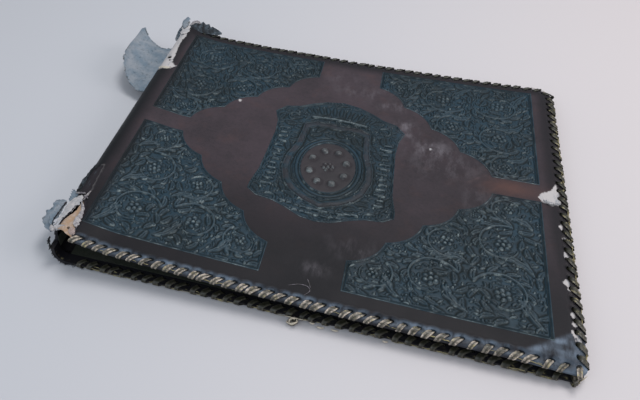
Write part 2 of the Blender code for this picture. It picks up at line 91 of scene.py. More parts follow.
# Run of the front cover's outer face
SHOULDER_END = 20 * MM
SHOULDER_DROP = 0.7 * MM
SHOULDER_SLOPE = -0.15
BULGE_END = 45 * MM
BULGE_HEIGHT = 23.6 * MM
FORE_HEIGHT = 13.8 * MM
SLUMP_POWER = 2.3

# Folded tail corner at the fore-edge
CREASE_START = Vector((0.2831, 0.0040))
CREASE_END = Vector((0.3124, 0.0246))
CREASE_FALL = 0.085

# Mesh of a hide: its coarsest cell, and how far a rim's vertices are drawn on to their line
HIDE_CELL = 2.4 * MM
HIDE_REACH = 1.1 * MM

# Least thickness where the hide is torn, every sheet's thickness while flat, and its cross cuts
THINNEST = 0.3 * MM
FLAT_THICKNESS = 1 * MM
ARC_STEP = 1.6 * MM
COVER_STEP = 9 * MM

# Covers' outline and lacing
TAIL_CORNER = 5 * MM
HEAD_CORNER = 13 * MM
CORNER_FACETS = 8
HOLE_INSET = 4.5 * MM
LACE_START = 24 * MM
CORNER_CLEARANCE = 10.5 * MM
TAIL_SIDE = Vector((0, -1))
FORE_SIDE = Vector((1, 0))
HEAD_SIDE = Vector((0, 1))

# Frame of the tooled ornament, as on the solids
FRAME_LEFT = 18.5 * MM
FRAME_RIGHT = LENGTH - 16.5 * MM
FRAME_TAIL = 16.0 * MM
FRAME_HEAD = WIDTH - 10.5 * MM
CENTRE = Vector(((FRAME_LEFT + FRAME_RIGHT) / 2, (FRAME_TAIL + FRAME_HEAD) / 2))
CROSS_HALF = Vector((25.0, 8.5)) * MM
PANEL_SIDE = 24.5 * MM
PANEL_RUN = 31 * MM
PANEL_SCALLOPS = 4
SCALLOP_DEPTH = 4.5 * MM
CARTOUCHE_HALF = millimetres([
    (0, 66), (13, 63.5), (24, 58), (33, 52), (43, 49), (50, 40), (46, 28), (45, 14),
    (46, -10), (47, -30), (50, -46), (50, -52), (43, -57), (31, -58.5), (22, -62), (10, -68), (0, -69.5),
])
DISC_DROP = 13 * MM
DISC_HALF = Vector((19.5, 26.5)) * MM

# Torn places of the front cover, from the back and the tail
FORE_PATCH = millimetres([
    (301.5, 132.7), (304.6, 137.9), (310.3, 141.7), (313.6, 148.6), (315.3, 144.5),
    (315.9, 137.2), (315.6, 128.4), (310.1, 126.3), (305.3, 127.8),
])
HEAD_STRIP = millimetres([
    (-12, 199), (1.3, 200.4), (3.7, 197.9), (9, 198), (13.7, 198.9), (17.6, 204.2), (12.2, 209),
    (11.2, 221), (9.1, 235.6), (8.9, 246.7), (10.5, 252), (9.0, 260.7), (11.5, 270), (-12, 270),
])
TORN_CORNER = millimetres([
    (-12, -2), (19, -2), (17.6, 3.7), (16.7, 9.1), (17.2, 19.8), (13.4, 28.4), (10.5, 34.5),
    (8.2, 26), (5.5, 17.6), (3.2, 9.0), (-12, 7.0),
])
SKINNED_CORNER = millimetres([
    (-12, -2), (20, -2), (18.6, 6), (18.2, 12), (18.4, 21), (15.5, 30), (12.4, 37.5), (11.6, 45.5),
    (10.6, 60), (10.0, 70.2), (4, 66), (-2, 55), (-12, 50),
])
TORN_BOARD = millimetres([
    (12.3, 27.6), (19, 28), (21, 2.2), (17.6, 2.6), (12.4, 4.7), (8.8, 6.3), (3.6, 7.6), (2.6, 10.5),
    (3.6, 13.1), (5.4, 16.0), (6.6, 17.6), (8.9, 20.8), (10.2, 24.1),
])

# Holes, chips, scuffs and the rust-worn strip, in millimetres: middle, size and strength
BOARD_HOLE = (12.3, 9.0, 1.1)
STAR_HOLES = [(6.6, 216.5, 1.9), (9.3, 211.8, 1.1)]
CHIPS = [
    (313.9, 107.3, 1.3), (315.2, 98.3, 1.0), (315.3, 83.3, 1.7), (313.4, 60.2, 2.0), (314.9, 56.5, 1.3),
    (314.7, 36.8, 1.2), (315.0, 30.9, 1.5), (314.4, 24.0, 1.9), (316.0, 21.0, 1.1), (131.4, 174.4, 1.1),
    (185.0, 120.4, 0.7), (28.3, 209.4, 1.1), (28.8, 164.3, 1.0), (80.3, 180.3, 1.3), (27.4, 249.3, 0.9),
    (133.0, 143.0, 0.7), (230.0, 164.5, 0.6),
]
SCUFFS = [
    (200.6, 210, 13, 5, 0.55), (210.2, 186, 8, 6, 0.75), (217, 176, 7, 5, 0.6), (231.2, 164, 15, 10, 0.75),
    (156.9, 238, 12, 7, 0.35), (240, 150, 22, 13, 0.4), (175, 222, 22, 8, 0.35), (190, 50, 14, 9, 0.25),
    (168, 28, 8, 5, 0.35), (262, 120, 12, 14, 0.2),
]
RUST_WORN = (289, 137, 20, 8)


def smooth(x, low, high):
    """Rises from 0 at low to 1 at high, level at both ends."""
    share = np.clip((x - low) / (high - low), 0, 1)
    return share * share * (3 - 2 * share)


def bell(x, middle, width):
    """Rises from 0 to 1 at the middle and falls again, about two widths across."""
    return np.exp(-((x - middle) / width) ** 2)


def arc_through(x, start, end, slopes):
    """Height of a smooth run between two points, from its end slopes."""
    run = end[0] - start[0]
    s = (x - start[0]) / run
    rising = s * s * (3 - 2 * s)
    lead = (s - 2 * s * s + s ** 3) * run * slopes[0]
    trail = (s ** 3 - s * s) * run * slopes[1]
    return start[1] + (end[1] - start[1]) * rising + lead + trail


def crown(u):
    """Height of the front cover's outer face: high over the back, slumped at the fore-edge."""
    fall = np.clip(1 - (u - BULGE_END) / (LENGTH - BULGE_END), 0, 1) ** SLUMP_POWER
    height = FORE_HEIGHT + (BULGE_HEIGHT - FORE_HEIGHT) * fall
    bulge_slope = -SLUMP_POWER * (BULGE_HEIGHT - FORE_HEIGHT) / (LENGTH - BULGE_END)
    shoulder = (SHOULDER_END, BACK - SHOULDER_DROP)
    bulge = arc_through(u, shoulder, (BULGE_END, BULGE_HEIGHT), (SHOULDER_SLOPE, bulge_slope))
    top = arc_through(u, (RADIUS, BACK), shoulder, (0, SHOULDER_SLOPE))
    height = np.where(u < BULGE_END, bulge, height)
    return np.where(u < SHOULDER_END, top, height)


class Ripple:
    """Soft unevenness between -1 and 1, the same on every run."""

    def __init__(self, seed, pitch, waves=7):
        draw = np.random.default_rng(seed)
        turn = draw.uniform(0, 2 * math.pi, waves)
        stride = 2 * math.pi / (pitch * draw.uniform(0.6, 1.7, waves))
        self.along = stride * np.cos(turn)
        self.across = stride * np.sin(turn)
        self.phase = draw.uniform(0, 2 * math.pi, waves)

    def at(self, u, v):
        waves = np.multiply.outer(u, self.along) + np.multiply.outer(v, self.across) + self.phase
        return np.sin(waves).sum(axis=-1) / math.sqrt(len(self.phase) * 2)

    def over(self, points):
        return self.at(points[:, 0], points[:, 1])


def crease_distance(u, v):
    """Distance past the crease, towards the folded tail corner."""
    along = (CREASE_END - CREASE_START).normalized()
    return (u - CREASE_START.x) * along.y - (v - CREASE_START.y) * along.x


class Cover:
    """One cover's outer face, and how flat hide is carried on to it."""

    def __init__(self, front):
        self.front = front
        self.sag = Ripple(3, 90 * MM)

    def settle(self, u, v):
        """Small departures of a worn cover from its true form."""
        if not self.front:
            return np.zeros_like(u)
        past = np.maximum(crease_distance(u, v), 0)
        fade = smooth(u, BULGE_END, 2 * BULGE_END)
        return 0.25 * MM * self.sag.at(u, v) * fade - CREASE_FALL * past

    def place(self, u, v, t):
        """World places of flat places at depth t."""
        turn = np.clip((RADIUS - u) / RADIUS, 0, math.pi / 2)
        past_fold = np.maximum(FOLD_U - u, 0)
        drop = RADIUS * (1 - np.cos(turn)) + past_fold
        x = np.where(u < RADIUS, RADIUS - RADIUS * np.sin(turn), u)
        lean = np.where(u < RADIUS, np.sin(turn), 0.0)
        level = np.where(u < RADIUS, np.cos(turn), 1.0)
        if self.front:
            step = 0.2 * MM
            slope = (crown(u + step) - crown(np.maximum(u - step, RADIUS))) / (2 * step)
            slope = np.where(u < RADIUS, 0.0, slope)
            size = np.sqrt(1 + slope ** 2)
            z = np.where(u < RADIUS, BACK - drop, crown(u)) + self.settle(u, v)
            lean = np.where(u < RADIUS, lean, slope / size)
            level = np.where(u < RADIUS, level, 1 / size)
            z = z - level * t
        else:
            z = drop + level * t
        x = x + lean * t
        return np.stack([x + CORNER_LOW.x, v + CORNER_LOW.y, z], axis=-1)

    def spot(self, u, v, t):
        """World place of one flat place."""
        return self.place(np.array([u]), np.array([v]), np.array([t]))[0]


FRONT = Cover(True)
REAR = Cover(False)


def edge_line(inset, start):
    """Points along tail, fore-edge and head at a distance in from the cover's edge."""
    points = [(start, inset)]
    right = LENGTH - inset
    top = WIDTH - inset
    for full, level, first, side in ((TAIL_CORNER, inset, -90, 1), (HEAD_CORNER, top, 0, -1)):
        radius = max(full - inset, 0.2 * MM)
        for step in range(CORNER_FACETS + 1):
            angle = math.radians(first + 90 * step / CORNER_FACETS)
            points.append((right - radius + radius * math.cos(angle),
                           level + side * radius + radius * math.sin(angle)))
    points.append((start, top))
    return points


def stitch_places(pitch):
    """Place on the edge, direction along it and direction outwards of every lacing hole."""
    clear = max(TAIL_CORNER, CORNER_CLEARANCE)
    runs = (
        (Vector((LACE_START, 0)), Vector((LENGTH - clear, 0)), TAIL_SIDE),
        (Vector((LENGTH, clear)), Vector((LENGTH, WIDTH - HEAD_CORNER)), FORE_SIDE),
        (Vector((LENGTH - HEAD_CORNER, WIDTH)), Vector((LACE_START, WIDTH)), HEAD_SIDE),
    )
    corners = ((TAIL_CORNER, TAIL_CORNER, -1), (HEAD_CORNER, WIDTH - HEAD_CORNER, 1))
    places = []
    for number, (start, stop, outward) in enumerate(runs):
        steps = round((stop - start).length / pitch)
        along = (stop - start).normalized()
        for step in range(steps + 1):
            places.append((start.lerp(stop, step / steps), along, outward))
        if number < len(corners):
            radius, level, side = corners[number]
            slant = Vector((1, side)).normalized()
            spot = Vector((LENGTH - radius, level)) + slant * radius
            places.append((spot, Vector((-slant.y, slant.x)), slant))
    return places


def faces_way(outward, way):
    """Whether a stitch belongs to the side that faces this way; a corner's belongs to two."""
    return outward.dot(way) > 0.5


def polygon_distance(points, outline):
    """Distance from a closed outline, positive inside it."""
    corners = np.asarray([tuple(corner) for corner in outline], float)
    x, y = points[:, 0], points[:, 1]
    nearest = np.full(len(points), np.inf)
    inside = np.zeros(len(points), bool)
    for (ax, ay), (bx, by) in zip(corners, np.roll(corners, -1, axis=0)):
        ex, ey = bx - ax, by - ay
        share = np.clip(((x - ax) * ex + (y - ay) * ey) / (ex * ex + ey * ey), 0, 1)
        nearest = np.minimum(nearest, np.hypot(x - ax - share * ex, y - ay - share * ey))
        if ay != by:
            inside ^= ((ay > y) != (by > y)) & (x < ex * (y - ay) / ey + ax)
    return np.where(inside, nearest, -nearest)


def bowed(points, depths):
    """An outline with each side bowed out to one side by its depth."""
    result = []
    for number, (first, second) in enumerate(zip(points, points[1:] + points[:1])):
        depth = depths.get(number, 0)
        steps = 8 if depth else 1
        side = (second - first).normalized()
        out = Vector((side.y, -side.x))
        for step in range(steps):
            share = step / steps
            result.append(first.lerp(second, share) + out * depth * 4 * share * (1 - share))
    return result


def panel_outline(side_x, side_y):
    """A corner panel of the frame, with scallops towards the middle."""
    outer = CENTRE - Vector((FRAME_LEFT, FRAME_TAIL))
    first = Vector((CROSS_HALF.x, outer.y - PANEL_SIDE))
    last = Vector((outer.x - PANEL_RUN, CROSS_HALF.y))
    points = [Vector((outer.x, outer.y)), Vector((CROSS_HALF.x, outer.y))]
    depths = {}
    for step in range(PANEL_SCALLOPS):
        depths[len(points)] = -SCALLOP_DEPTH
        points.append(first.lerp(last, step / PANEL_SCALLOPS))
    points += [last, Vector((outer.x, CROSS_HALF.y))]
    mirrored = side_x * side_y < 0
    outline = bowed(points, depths)
    outline = [CENTRE + Vector((side_x * p.x, side_y * p.y)) for p in outline]
    return outline[::-1] if mirrored else outline


def cartouche_outline():
    left = [(-a, b) for a, b in reversed(CARTOUCHE_HALF[1:-1])]
    return [CENTRE + Vector(point) for point in CARTOUCHE_HALF + left]


PANELS = {
    (side_x, side_y): panel_outline(side_x, side_y) for side_x in (-1, 1) for side_y in (-1, 1)
}
CARTOUCHE = cartouche_outline()
DISC_CENTRE = CENTRE - Vector((0, DISC_DROP))


def edge_distance(points):
    """Distance in from the tail, the fore-edge and the head."""
    outline = edge_line(0.0, -10 * LENGTH)
    return polygon_distance(points, outline)


def hole_distance(points, pitch):
    """Distance from the nearest lacing hole's middle."""
    nearest = np.full(len(points), np.inf)
    for spot, _, outward in stitch_places(pitch):
        middle = spot - outward * HOLE_INSET
        nearest = np.minimum(nearest, np.hypot(points[:, 0] - middle.x, points[:, 1] - middle.y))
    return nearest


def slit_distance(points, pitch, length, width):
    """Distance from the rim of the nearest lacing slit, positive outside it."""
    nearest = np.full(len(points), np.inf)
    for spot, along, outward in stitch_places(pitch):
        middle = spot - outward * HOLE_INSET
        x, y = points[:, 0] - middle.x, points[:, 1] - middle.y
        a = (x * along.x + y * along.y) / (length / 2)
        b = (x * outward.x + y * outward.y) / (width / 2)
        nearest = np.minimum(nearest, (np.hypot(a, b) - 1) * width / 2)
    return nearest


def face_centres(mesh):
    return np.array([face.calc_center_median()[:2] for face in mesh.faces])


def flat_grid(low, high, pitch):
    """A flat grid of nearly square cells."""
    mesh = bmesh.new()
    span = Vector(high) - Vector(low)
    columns, rows = (round(side / pitch) for side in span)
    bmesh.ops.create_grid(mesh, x_segments=columns, y_segments=rows, size=0.5)
    bmesh.ops.scale(mesh, vec=(*span, 1), verts=mesh.verts)
    middle = (Vector(low) + Vector(high)) / 2
    bmesh.ops.translate(mesh, vec=(middle.x, middle.y, 0), verts=mesh.verts)
    return mesh


def refine(mesh, wanted):
    """Halve the cells whose middle is wanted."""
    picks = wanted(face_centres(mesh))
    edges = {}
    for face, pick in zip(mesh.faces, picks):
        if pick:
            edges.update(dict.fromkeys(face.edges))
    bmesh.ops.subdivide_edges(mesh, edges=list(edges), cuts=1, use_grid_fill=True)


def trim(mesh, keep, reach):
    """Cut away what keep() makes negative, and draw the new rim on to its zero line."""
    outside = keep(face_centres(mesh)) < 0
    gone = [face for face, out in zip(mesh.faces, outside) if out]
    bmesh.ops.delete(mesh, geom=gone, context="FACES")
    for vert in list(mesh.verts):
        rim = [edge for edge in vert.link_edges if edge.is_boundary]
        if len(rim) > 2:
            bmesh.utils.vert_separate(vert, rim)
    rim = [vert for vert in mesh.verts if vert.is_boundary]
    places = np.array([vert.co[:2] for vert in rim])
    probe = 0.02 * MM
    for _ in range(3):
        off = keep(places)
        slope_x = (keep(places + (probe, 0)) - keep(places - (probe, 0))) / (2 * probe)
        slope_y = (keep(places + (0, probe)) - keep(places - (0, probe))) / (2 * probe)
        near = np.abs(off) < reach
        places[:, 0] -= np.where(near, off * slope_x, 0)
        places[:, 1] -= np.where(near, off * slope_y, 0)
    for vert, place in zip(rim, places):
        vert.co.x, vert.co.y = place


def close_below(mesh, stations):
    """Carry the rim down, fill it, and cut the underside across so that it can bend."""
    rim = [edge for edge in mesh.edges if edge.is_boundary]
    made = bmesh.ops.extrude_edge_only(mesh, edges=rim)["geom"]
    lower = [item for item in made if isinstance(item, bmesh.types.BMVert)]
    bmesh.ops.translate(mesh, vec=(0, 0, -FLAT_THICKNESS), verts=lower)
    rim = [edge for edge in mesh.edges if edge.is_boundary]
    geometry = bmesh.ops.triangle_fill(mesh, use_beauty=True, edges=rim, normal=(0, 0, -1))["geom"]
    faces = [item for item in geometry if isinstance(item, bmesh.types.BMFace)]
    for station in stations:
        verts = dict.fromkeys(vert for face in faces for vert in face.verts)
        edges = dict.fromkeys(edge for face in faces for edge in face.edges)
        cut = bmesh.ops.bisect_plane(mesh, geom=list(verts) + list(edges) + faces, dist=0.01 * MM,
                                     plane_co=(station, 0, 0), plane_no=(1, 0, 0))["geom"]
        faces = [item for item in cut if isinstance(item, bmesh.types.BMFace)]
    bmesh.ops.recalc_face_normals(mesh, faces=mesh.faces)


def thicken(mesh):
    """Carry a copy of the whole sheet down, closed along every rim."""
    made = bmesh.ops.extrude_face_region(mesh, geom=mesh.faces[:], use_keep_orig=True)["geom"]
    lower = [item for item in made if isinstance(item, bmesh.types.BMVert)]
    bmesh.ops.translate(mesh, vec=(0, 0, -FLAT_THICKNESS), verts=lower)
    bmesh.ops.recalc_face_normals(mesh, faces=mesh.faces)


def bend_stations(low, high):
    """Where an underside is cut across: closely round the back, widely over the cover."""
    arc = np.arange(FOLD_U, SHOULDER_END, ARC_STEP)
    flat = np.arange(SHOULDER_END, LENGTH, COVER_STEP)
    return [station for station in [*arc, *flat] if low < station < high]


def as_object(name, mesh):
    data = bpy.data.meshes.new(name)
    mesh.to_mesh(data)
    mesh.free()
    item = bpy.data.objects.new(name, data)
    bpy.context.scene.collection.objects.link(item)
    return item


def mesh_places(data):
    flat = np.empty(len(data.vertices) * 3)
    data.vertices.foreach_get("co", flat)
    return flat.reshape(-1, 3)


def move_vertices(item, places):
    item.data.vertices.foreach_set("co", np.asarray(places, float).ravel())
    item.data.update()


def sheet_places(item):
    """Flat places of a closed sheet's vertices, and which of them are its underside's."""
    flat = mesh_places(item.data)
    return flat[:, :2], flat[:, 2] < -FLAT_THICKNESS / 2


def lay(item, cover, points, depth):
    """Bend a flat sheet on to a cover, each vertex at its depth."""
    move_vertices(item, cover.place(points[:, 0], points[:, 1], depth))


def paint(item, **masks):
    """Store what a material varies with, one number for each vertex."""
    for name, values in masks.items():
        layer = item.data.attributes.new(name, "FLOAT", "POINT")
        layer.data.foreach_set("value", np.asarray(values, np.float32))


def publish(item, material, body, nodes, crease=40):
    """Finish a piece: its shading, its material, its body and what it stands for.

    A hide that bends over a fold has no one body and is given none.
    """
    mesh = bmesh.new()
    mesh.from_mesh(item.data)
    bmesh.ops.recalc_face_normals(mesh, faces=mesh.faces)
    mesh.to_mesh(item.data)
    mesh.free()
    item.data.shade_smooth()
    item.data.set_sharp_from_angle(angle=math.radians(crease))
    item.data.materials.append(material)
    if body:
        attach(item, body)
    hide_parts(*nodes)
    return item


class Wire:
    """A shader socket that takes part in sums: each operator adds its Math node."""

    def __init__(self, shade, socket):
        self.shade = shade
        self.socket = socket

    def math(self, operation, *others):
        return self.shade.math(operation, self, *others)

    def __add__(self, other):
        return self.math("ADD", other)

    def __sub__(self, other):
        return self.math("SUBTRACT", other)

    def __rsub__(self, other):
        return self.shade.math("SUBTRACT", other, self)

    def __mul__(self, other):
        return self.math("MULTIPLY", other)

    __radd__ = __add__
    __rmul__ = __mul__


class Shade:
    """A material under construction."""

    def __init__(self, name, base, roughness):
        self.material = bpy.data.materials.new(name)
        self.material.use_nodes = True
        self.tree = self.material.node_tree
        self.shader = self.tree.nodes["Principled BSDF"]
        self.material.diffuse_color = (*base, 1)
        self.shader.inputs["Base Color"].default_value = (*base, 1)
        self.shader.inputs["Roughness"].default_value = roughness
        self.places = self.add("ShaderNodeTexCoord").outputs["Object"]

    def add(self, kind, settings=None, sockets=None):
        """A node, with its settings made first and then the values or links of its sockets."""
        node = self.tree.nodes.new(kind)
        for name, value in (settings or {}).items():
            setattr(node, name, value)
        for name, value in (sockets or {}).items():
            if isinstance(value, Wire):
                value = value.socket
            if isinstance(value, bpy.types.NodeSocket):
                self.tree.links.new(value, node.inputs[name])
            else:
                node.inputs[name].default_value = value
        return node

    def math(self, operation, *values):
        node = self.add("ShaderNodeMath", {"operation": operation}, dict(enumerate(values)))
        return Wire(self, node.outputs[0])

    def mask(self, name):
        node = self.add("ShaderNodeAttribute", {"attribute_name": name})
        return Wire(self, node.outputs["Fac"])

    def position(self, axis):
        node = self.add("ShaderNodeSeparateXYZ", None, {"Vector": self.places})
        return Wire(self, node.outputs[axis])

    def noise(self, scale, detail, rough, stretch=(1, 1, 1), turn=0.0):
        """Noise with a grain of about 1 / scale metres, between 0 and 1."""
        mapping = self.add("ShaderNodeMapping", None, {
            "Vector": self.places, "Scale": stretch, "Rotation": (0, 0, turn)})
        node = self.add("ShaderNodeTexNoise", None, {
            "Vector": mapping.outputs[0], "Scale": scale, "Detail": detail, "Roughness": rough})
        return Wire(self, node.outputs[0])

    def cells(self, scale):
        node = self.add("ShaderNodeTexVoronoi", None, {"Vector": self.places, "Scale": scale})
        return Wire(self, node.outputs["Distance"])

    def between(self, value, low, high):
        """0 below low, 1 above high, smooth between."""
        node = self.add("ShaderNodeMapRange", {"interpolation_type": "SMOOTHSTEP"}, {
            "Value": value, "From Min": low, "From Max": high})
        return Wire(self, node.outputs[0])

    def blend(self, first, second, share):
        """First colour where share is 0, second where it is 1."""
        node = self.add("ShaderNodeMix", {"data_type": "RGBA"}, {0: share})
        for index, colour in ((6, first), (7, second)):
            if isinstance(colour, bpy.types.NodeSocket):
                self.tree.links.new(colour, node.inputs[index])
            else:
                node.inputs[index].default_value = (*colour, 1)
        return node.outputs[2]

    def finish(self, colour, roughness, height=None, depth=0.2 * MM, strength=1.0):
        """Wire up what varies, and give back the material."""
        self.tree.links.new(colour, self.shader.inputs["Base Color"])
        if isinstance(roughness, Wire):
            self.tree.links.new(roughness.socket, self.shader.inputs["Roughness"])
        if height is not None:
            bump = self.add("ShaderNodeBump", None, {
                "Height": height, "Distance": depth, "Strength": strength})
            self.tree.links.new(bump.outputs[0], self.shader.inputs["Normal"])
        return self.material


def tint(name, label, colour):
    return bpy.props.FloatVectorProperty(name=name, description=label, subtype="COLOR", size=3,
                                         min=0, max=1, default=colour)


def size(name, label, length):
    return bpy.props.FloatProperty(name=name, description=label, unit="LENGTH", default=length)


class AlbumSizes(bpy.types.PropertyGroup):
    """Sizes that a user would change."""

    hide: size("Hide", "Thickness of the hide", 1.2 * MM)
    turn_in: size("Turned-in edge", "Thickness of the two plies at the edge", 2.2 * MM)
    margin_step: size("Margin step", "How far the laced margin lies below the field", 1.2 * MM)
    margin: size("Margin", "Width of the laced margin", 7.8 * MM)
    slope: size("Slope", "Width of the slope between margin and field", 1.6 * MM)
    board: size("Board", "Thickness of a cover's board", 1.8 * MM)
    lining: size("Lining", "Thickness of the lining", 0.5 * MM)
    pitch: size("Stitch pitch", "Distance between lacing holes", 7.8 * MM)
    hole_length: size("Hole length", "Length of a lacing slit", 3.6 * MM)
    hole_width: size("Hole width", "Width of a lacing slit", 2.2 * MM)
    thong_width: size("Thong width", "Width of the lacing thong", 2.7 * MM)
    thong: size("Thong", "Thickness of the lacing thong", 0.9 * MM)
    relief: size("Relief", "Height of the tooled scrolls over their ground", 0.75 * MM)
    sink: size("Panel depth", "Depth of a panel's ground below the field", 0.45 * MM)
    cell: size("Tooling cell", "Cell of the tooled panels' mesh", 0.48 * MM)
    leaf_gap: size("Leaf edge gap", "Distance from the cover's edge to the leaves", 12 * MM)


class AlbumColours(bpy.types.PropertyGroup):
    """Colours that a user would change."""

    field: tint("Field", "Dark purple-brown of the front hide", (0.056, 0.042, 0.050))
    field_dark: tint("Field shade", "Darker mottling of the front hide", (0.024, 0.021, 0.025))
    back: tint("Back", "Brown-black of the back and the edges", (0.006, 0.007, 0.009))
    panel: tint("Panel", "Blue-grey paint of the panels", (0.010, 0.035, 0.056))
    panel_dark: tint("Panel shade", "Dark ground round the scrolls", (0.003, 0.007, 0.008))
    # Pale tops: wear, and painted highlights on rims and on slopes that face the tail
    rubbed: tint("Rubbed", "Pale rubbed tops", (0.36, 0.43, 0.44))
    scuff: tint("Scuff", "Grey bloom of scuffed places", (0.17, 0.155, 0.175))
    # Painted reflection: bluish, on the bent corner and along the laced tail margin
    sheen: tint("Sheen", "Bluish bloom of the bent corner and the laced margin", (0.19, 0.245, 0.32))
    rust: tint("Rust", "Reddish worn strip", (0.105, 0.053, 0.045))
    torn: tint("Torn", "Pale paper and fibre of torn places", (0.49, 0.465, 0.465))
    suede: tint("Flesh side", "Blue-grey flesh side of the hide", (0.15, 0.20, 0.25))
    tan: tint("Board", "Tan board", (0.37, 0.235, 0.14))
    lace: tint("Lacing", "Tan of the worn thong", (0.68, 0.58, 0.49))
    # Also painted as shade in the thong's crease and where it enters its holes
    lace_dark: tint("Lacing shade", "Dirt of the thong", (0.018, 0.018, 0.010))
    # Painted glints on the lacing and along the rear cover's rim; also the colour of the yellow fibres
    glint: tint("Glint", "Yellowish rubbed glints of the edges", (0.42, 0.36, 0.19))
    cream: tint("Cream", "Cream paper of the small fold", (0.62, 0.56, 0.45))
    pink: tint("Pink fibre", "Pale pinkish fibres", (0.42, 0.34, 0.32))
    moss: tint("Moss", "Green-black of linings and turned edges", (0.012, 0.016, 0.008))
    card: tint("Card", "Dark album card", (0.030, 0.029, 0.025))
    # The floor's two ends: painted lighter and warmer towards the right, a painted pool of light
    floor: tint("Floor", "Pale stage floor, cool side", (0.525, 0.535, 0.572))
    floor_warm: tint("Floor, warm side", "Pale stage floor towards the right", (0.635, 0.588, 0.597))


def scalloped(inset, holes):
    """A distance that follows the edge and bows round each hole."""
    return 0.62 * inset + 0.38 * holes


def margin_drop(points, sizes):
    """Depth of the laced margin below the field: scalloped between the holes, rolled at the edge."""
    inset = edge_distance(points)
    holes = hole_distance(points, sizes.pitch)
    reach = scalloped(inset, holes)
    step = sizes.margin_step * (1 - smooth(reach, 3.1 * MM, 5.3 * MM))
    crest = bell(reach, 5.6 * MM, 0.5 * MM)
    roll = np.clip(1 - inset / (2.6 * MM), 0, 1) ** 1.6
    pull = bell(holes, 0, 1.9 * MM)
    return step + (0.9 * roll + 0.5 * pull - 0.15 * crest) * MM


def edge_shade(points, sizes):
    """Darker places: along the back, in the margin and between panels and lacing, towards the tail and the
    fore-edge; round each lacing hole the darkening is painted shadow.
    """
    back = 1 - smooth(points[:, 0], 6 * MM, 24 * MM)
    inset = edge_distance(points)
    margin = (1 - smooth(inset, 8 * MM, 19 * MM)) * 0.75
    tail = (1 - smooth(points[:, 1], 30 * MM, 130 * MM)) * 0.85
    fore = smooth(points[:, 0], 180 * MM, 260 * MM) * 0.3
    # Painted shadow round each lacing hole
    holes = 1 - smooth(hole_distance(points, sizes.pitch), 1.8 * MM, 3.4 * MM)
    return np.maximum.reduce([back, margin, tail, fore, holes * 0.95])


def sheen_places(points, sizes):
    """Where a bluish reflection is painted: past the crease, and between the tail holes."""
    past = smooth(crease_distance(points[:, 0], points[:, 1]), -0.5 * MM, 2.5 * MM)
    away = np.hypot(points[:, 0] - LENGTH, points[:, 1])
    bent = past * (1 - smooth(away, 24 * MM, 44 * MM)) * 0.6
    inset = points[:, 1]
    reach = scalloped(inset, hole_distance(points, sizes.pitch))
    band = bell(reach, 4.1 * MM, 0.9 * MM) * 0.75
    rim = bell(inset, 2.2 * MM, 1.8 * MM) * 0.6
    run = smooth(points[:, 0], 12 * MM, 22 * MM)
    streaks = 0.7 + 0.5 * Ripple(19, 5 * MM).at(points[:, 0] * 0.4, points[:, 1])
    return np.maximum(bent, np.maximum(band, rim) * run * (inset < 12 * MM)) * np.clip(streaks, 0.1, 1.3)


def under_depth(points, sizes):
    """Depth of the hide's underside: turned in, so thicker, at the margin."""
    inset = edge_distance(points)
    end = sizes.margin + sizes.slope
    thick = 1 - smooth(inset, sizes.margin, end)
    return sizes.hide + (sizes.margin_step + sizes.turn_in - sizes.hide) * thick


def hide_sheet(sizes, rims, marks):
    """A cover's hide, flat and closed: fine at the margin, near each rim and at its marks."""
    clear = sizes.margin + sizes.slope + 2 * MM
    mesh = flat_grid((MIDDLE_OF_BACK, 0), (LENGTH, WIDTH), HIDE_CELL)

    def near_edge(points):
        near = edge_distance(points) < clear
        for line in rims + marks:
            near |= np.abs(line(points)) < HIDE_CELL
        return near

    def close_by(points):
        near = (edge_distance(points) < clear - 2 * MM) & (points[:, 0] > RADIUS)
        for line in marks:
            near |= np.abs(line(points)) < 1.4 * MM
        return near

    refine(mesh, near_edge)
    refine(mesh, close_by)

    def keep(points):
        slits = slit_distance(points, sizes.pitch, sizes.hole_length, sizes.hole_width)
        kept = np.minimum(edge_distance(points), slits)
        for rim in rims:
            kept = np.minimum(kept, rim(points))
        return kept

    trim(mesh, keep, HIDE_REACH)
    thicken(mesh)
    return mesh


def blobs(points, spots):
    """Soft round or oval places, strongest in their middle, with a broken rim."""
    broken = 1 + 0.35 * Ripple(17, 5 * MM).over(points)
    total = np.zeros(len(points))
    for x, y, half_x, half_y, strength in spots:
        reach = ((points[:, 0] / MM - x) / half_x) ** 2 + ((points[:, 1] / MM - y) / half_y) ** 2
        total = np.maximum(total, strength * np.exp(-reach * broken))
    return total


def chip_distance(points):
    """Distance from the nearest chip's rim in the field."""
    nearest = np.full(len(points), np.inf)
    for x, y, radius in CHIPS:
        away = np.hypot(points[:, 0] - x * MM, points[:, 1] - y * MM) - radius * MM
        nearest = np.minimum(nearest, away)
    return nearest


def border(outline, side=1):
    """Distance inside an outline, or outside it where side is -1, as a function of places."""
    return lambda points: side * polygon_distance(points, outline)


def front_marks():
    """Borders that the front hide's mesh follows closely without being cut there."""
    return [*map(border, (SKINNED_CORNER, HEAD_STRIP, FORE_PATCH)), chip_distance]


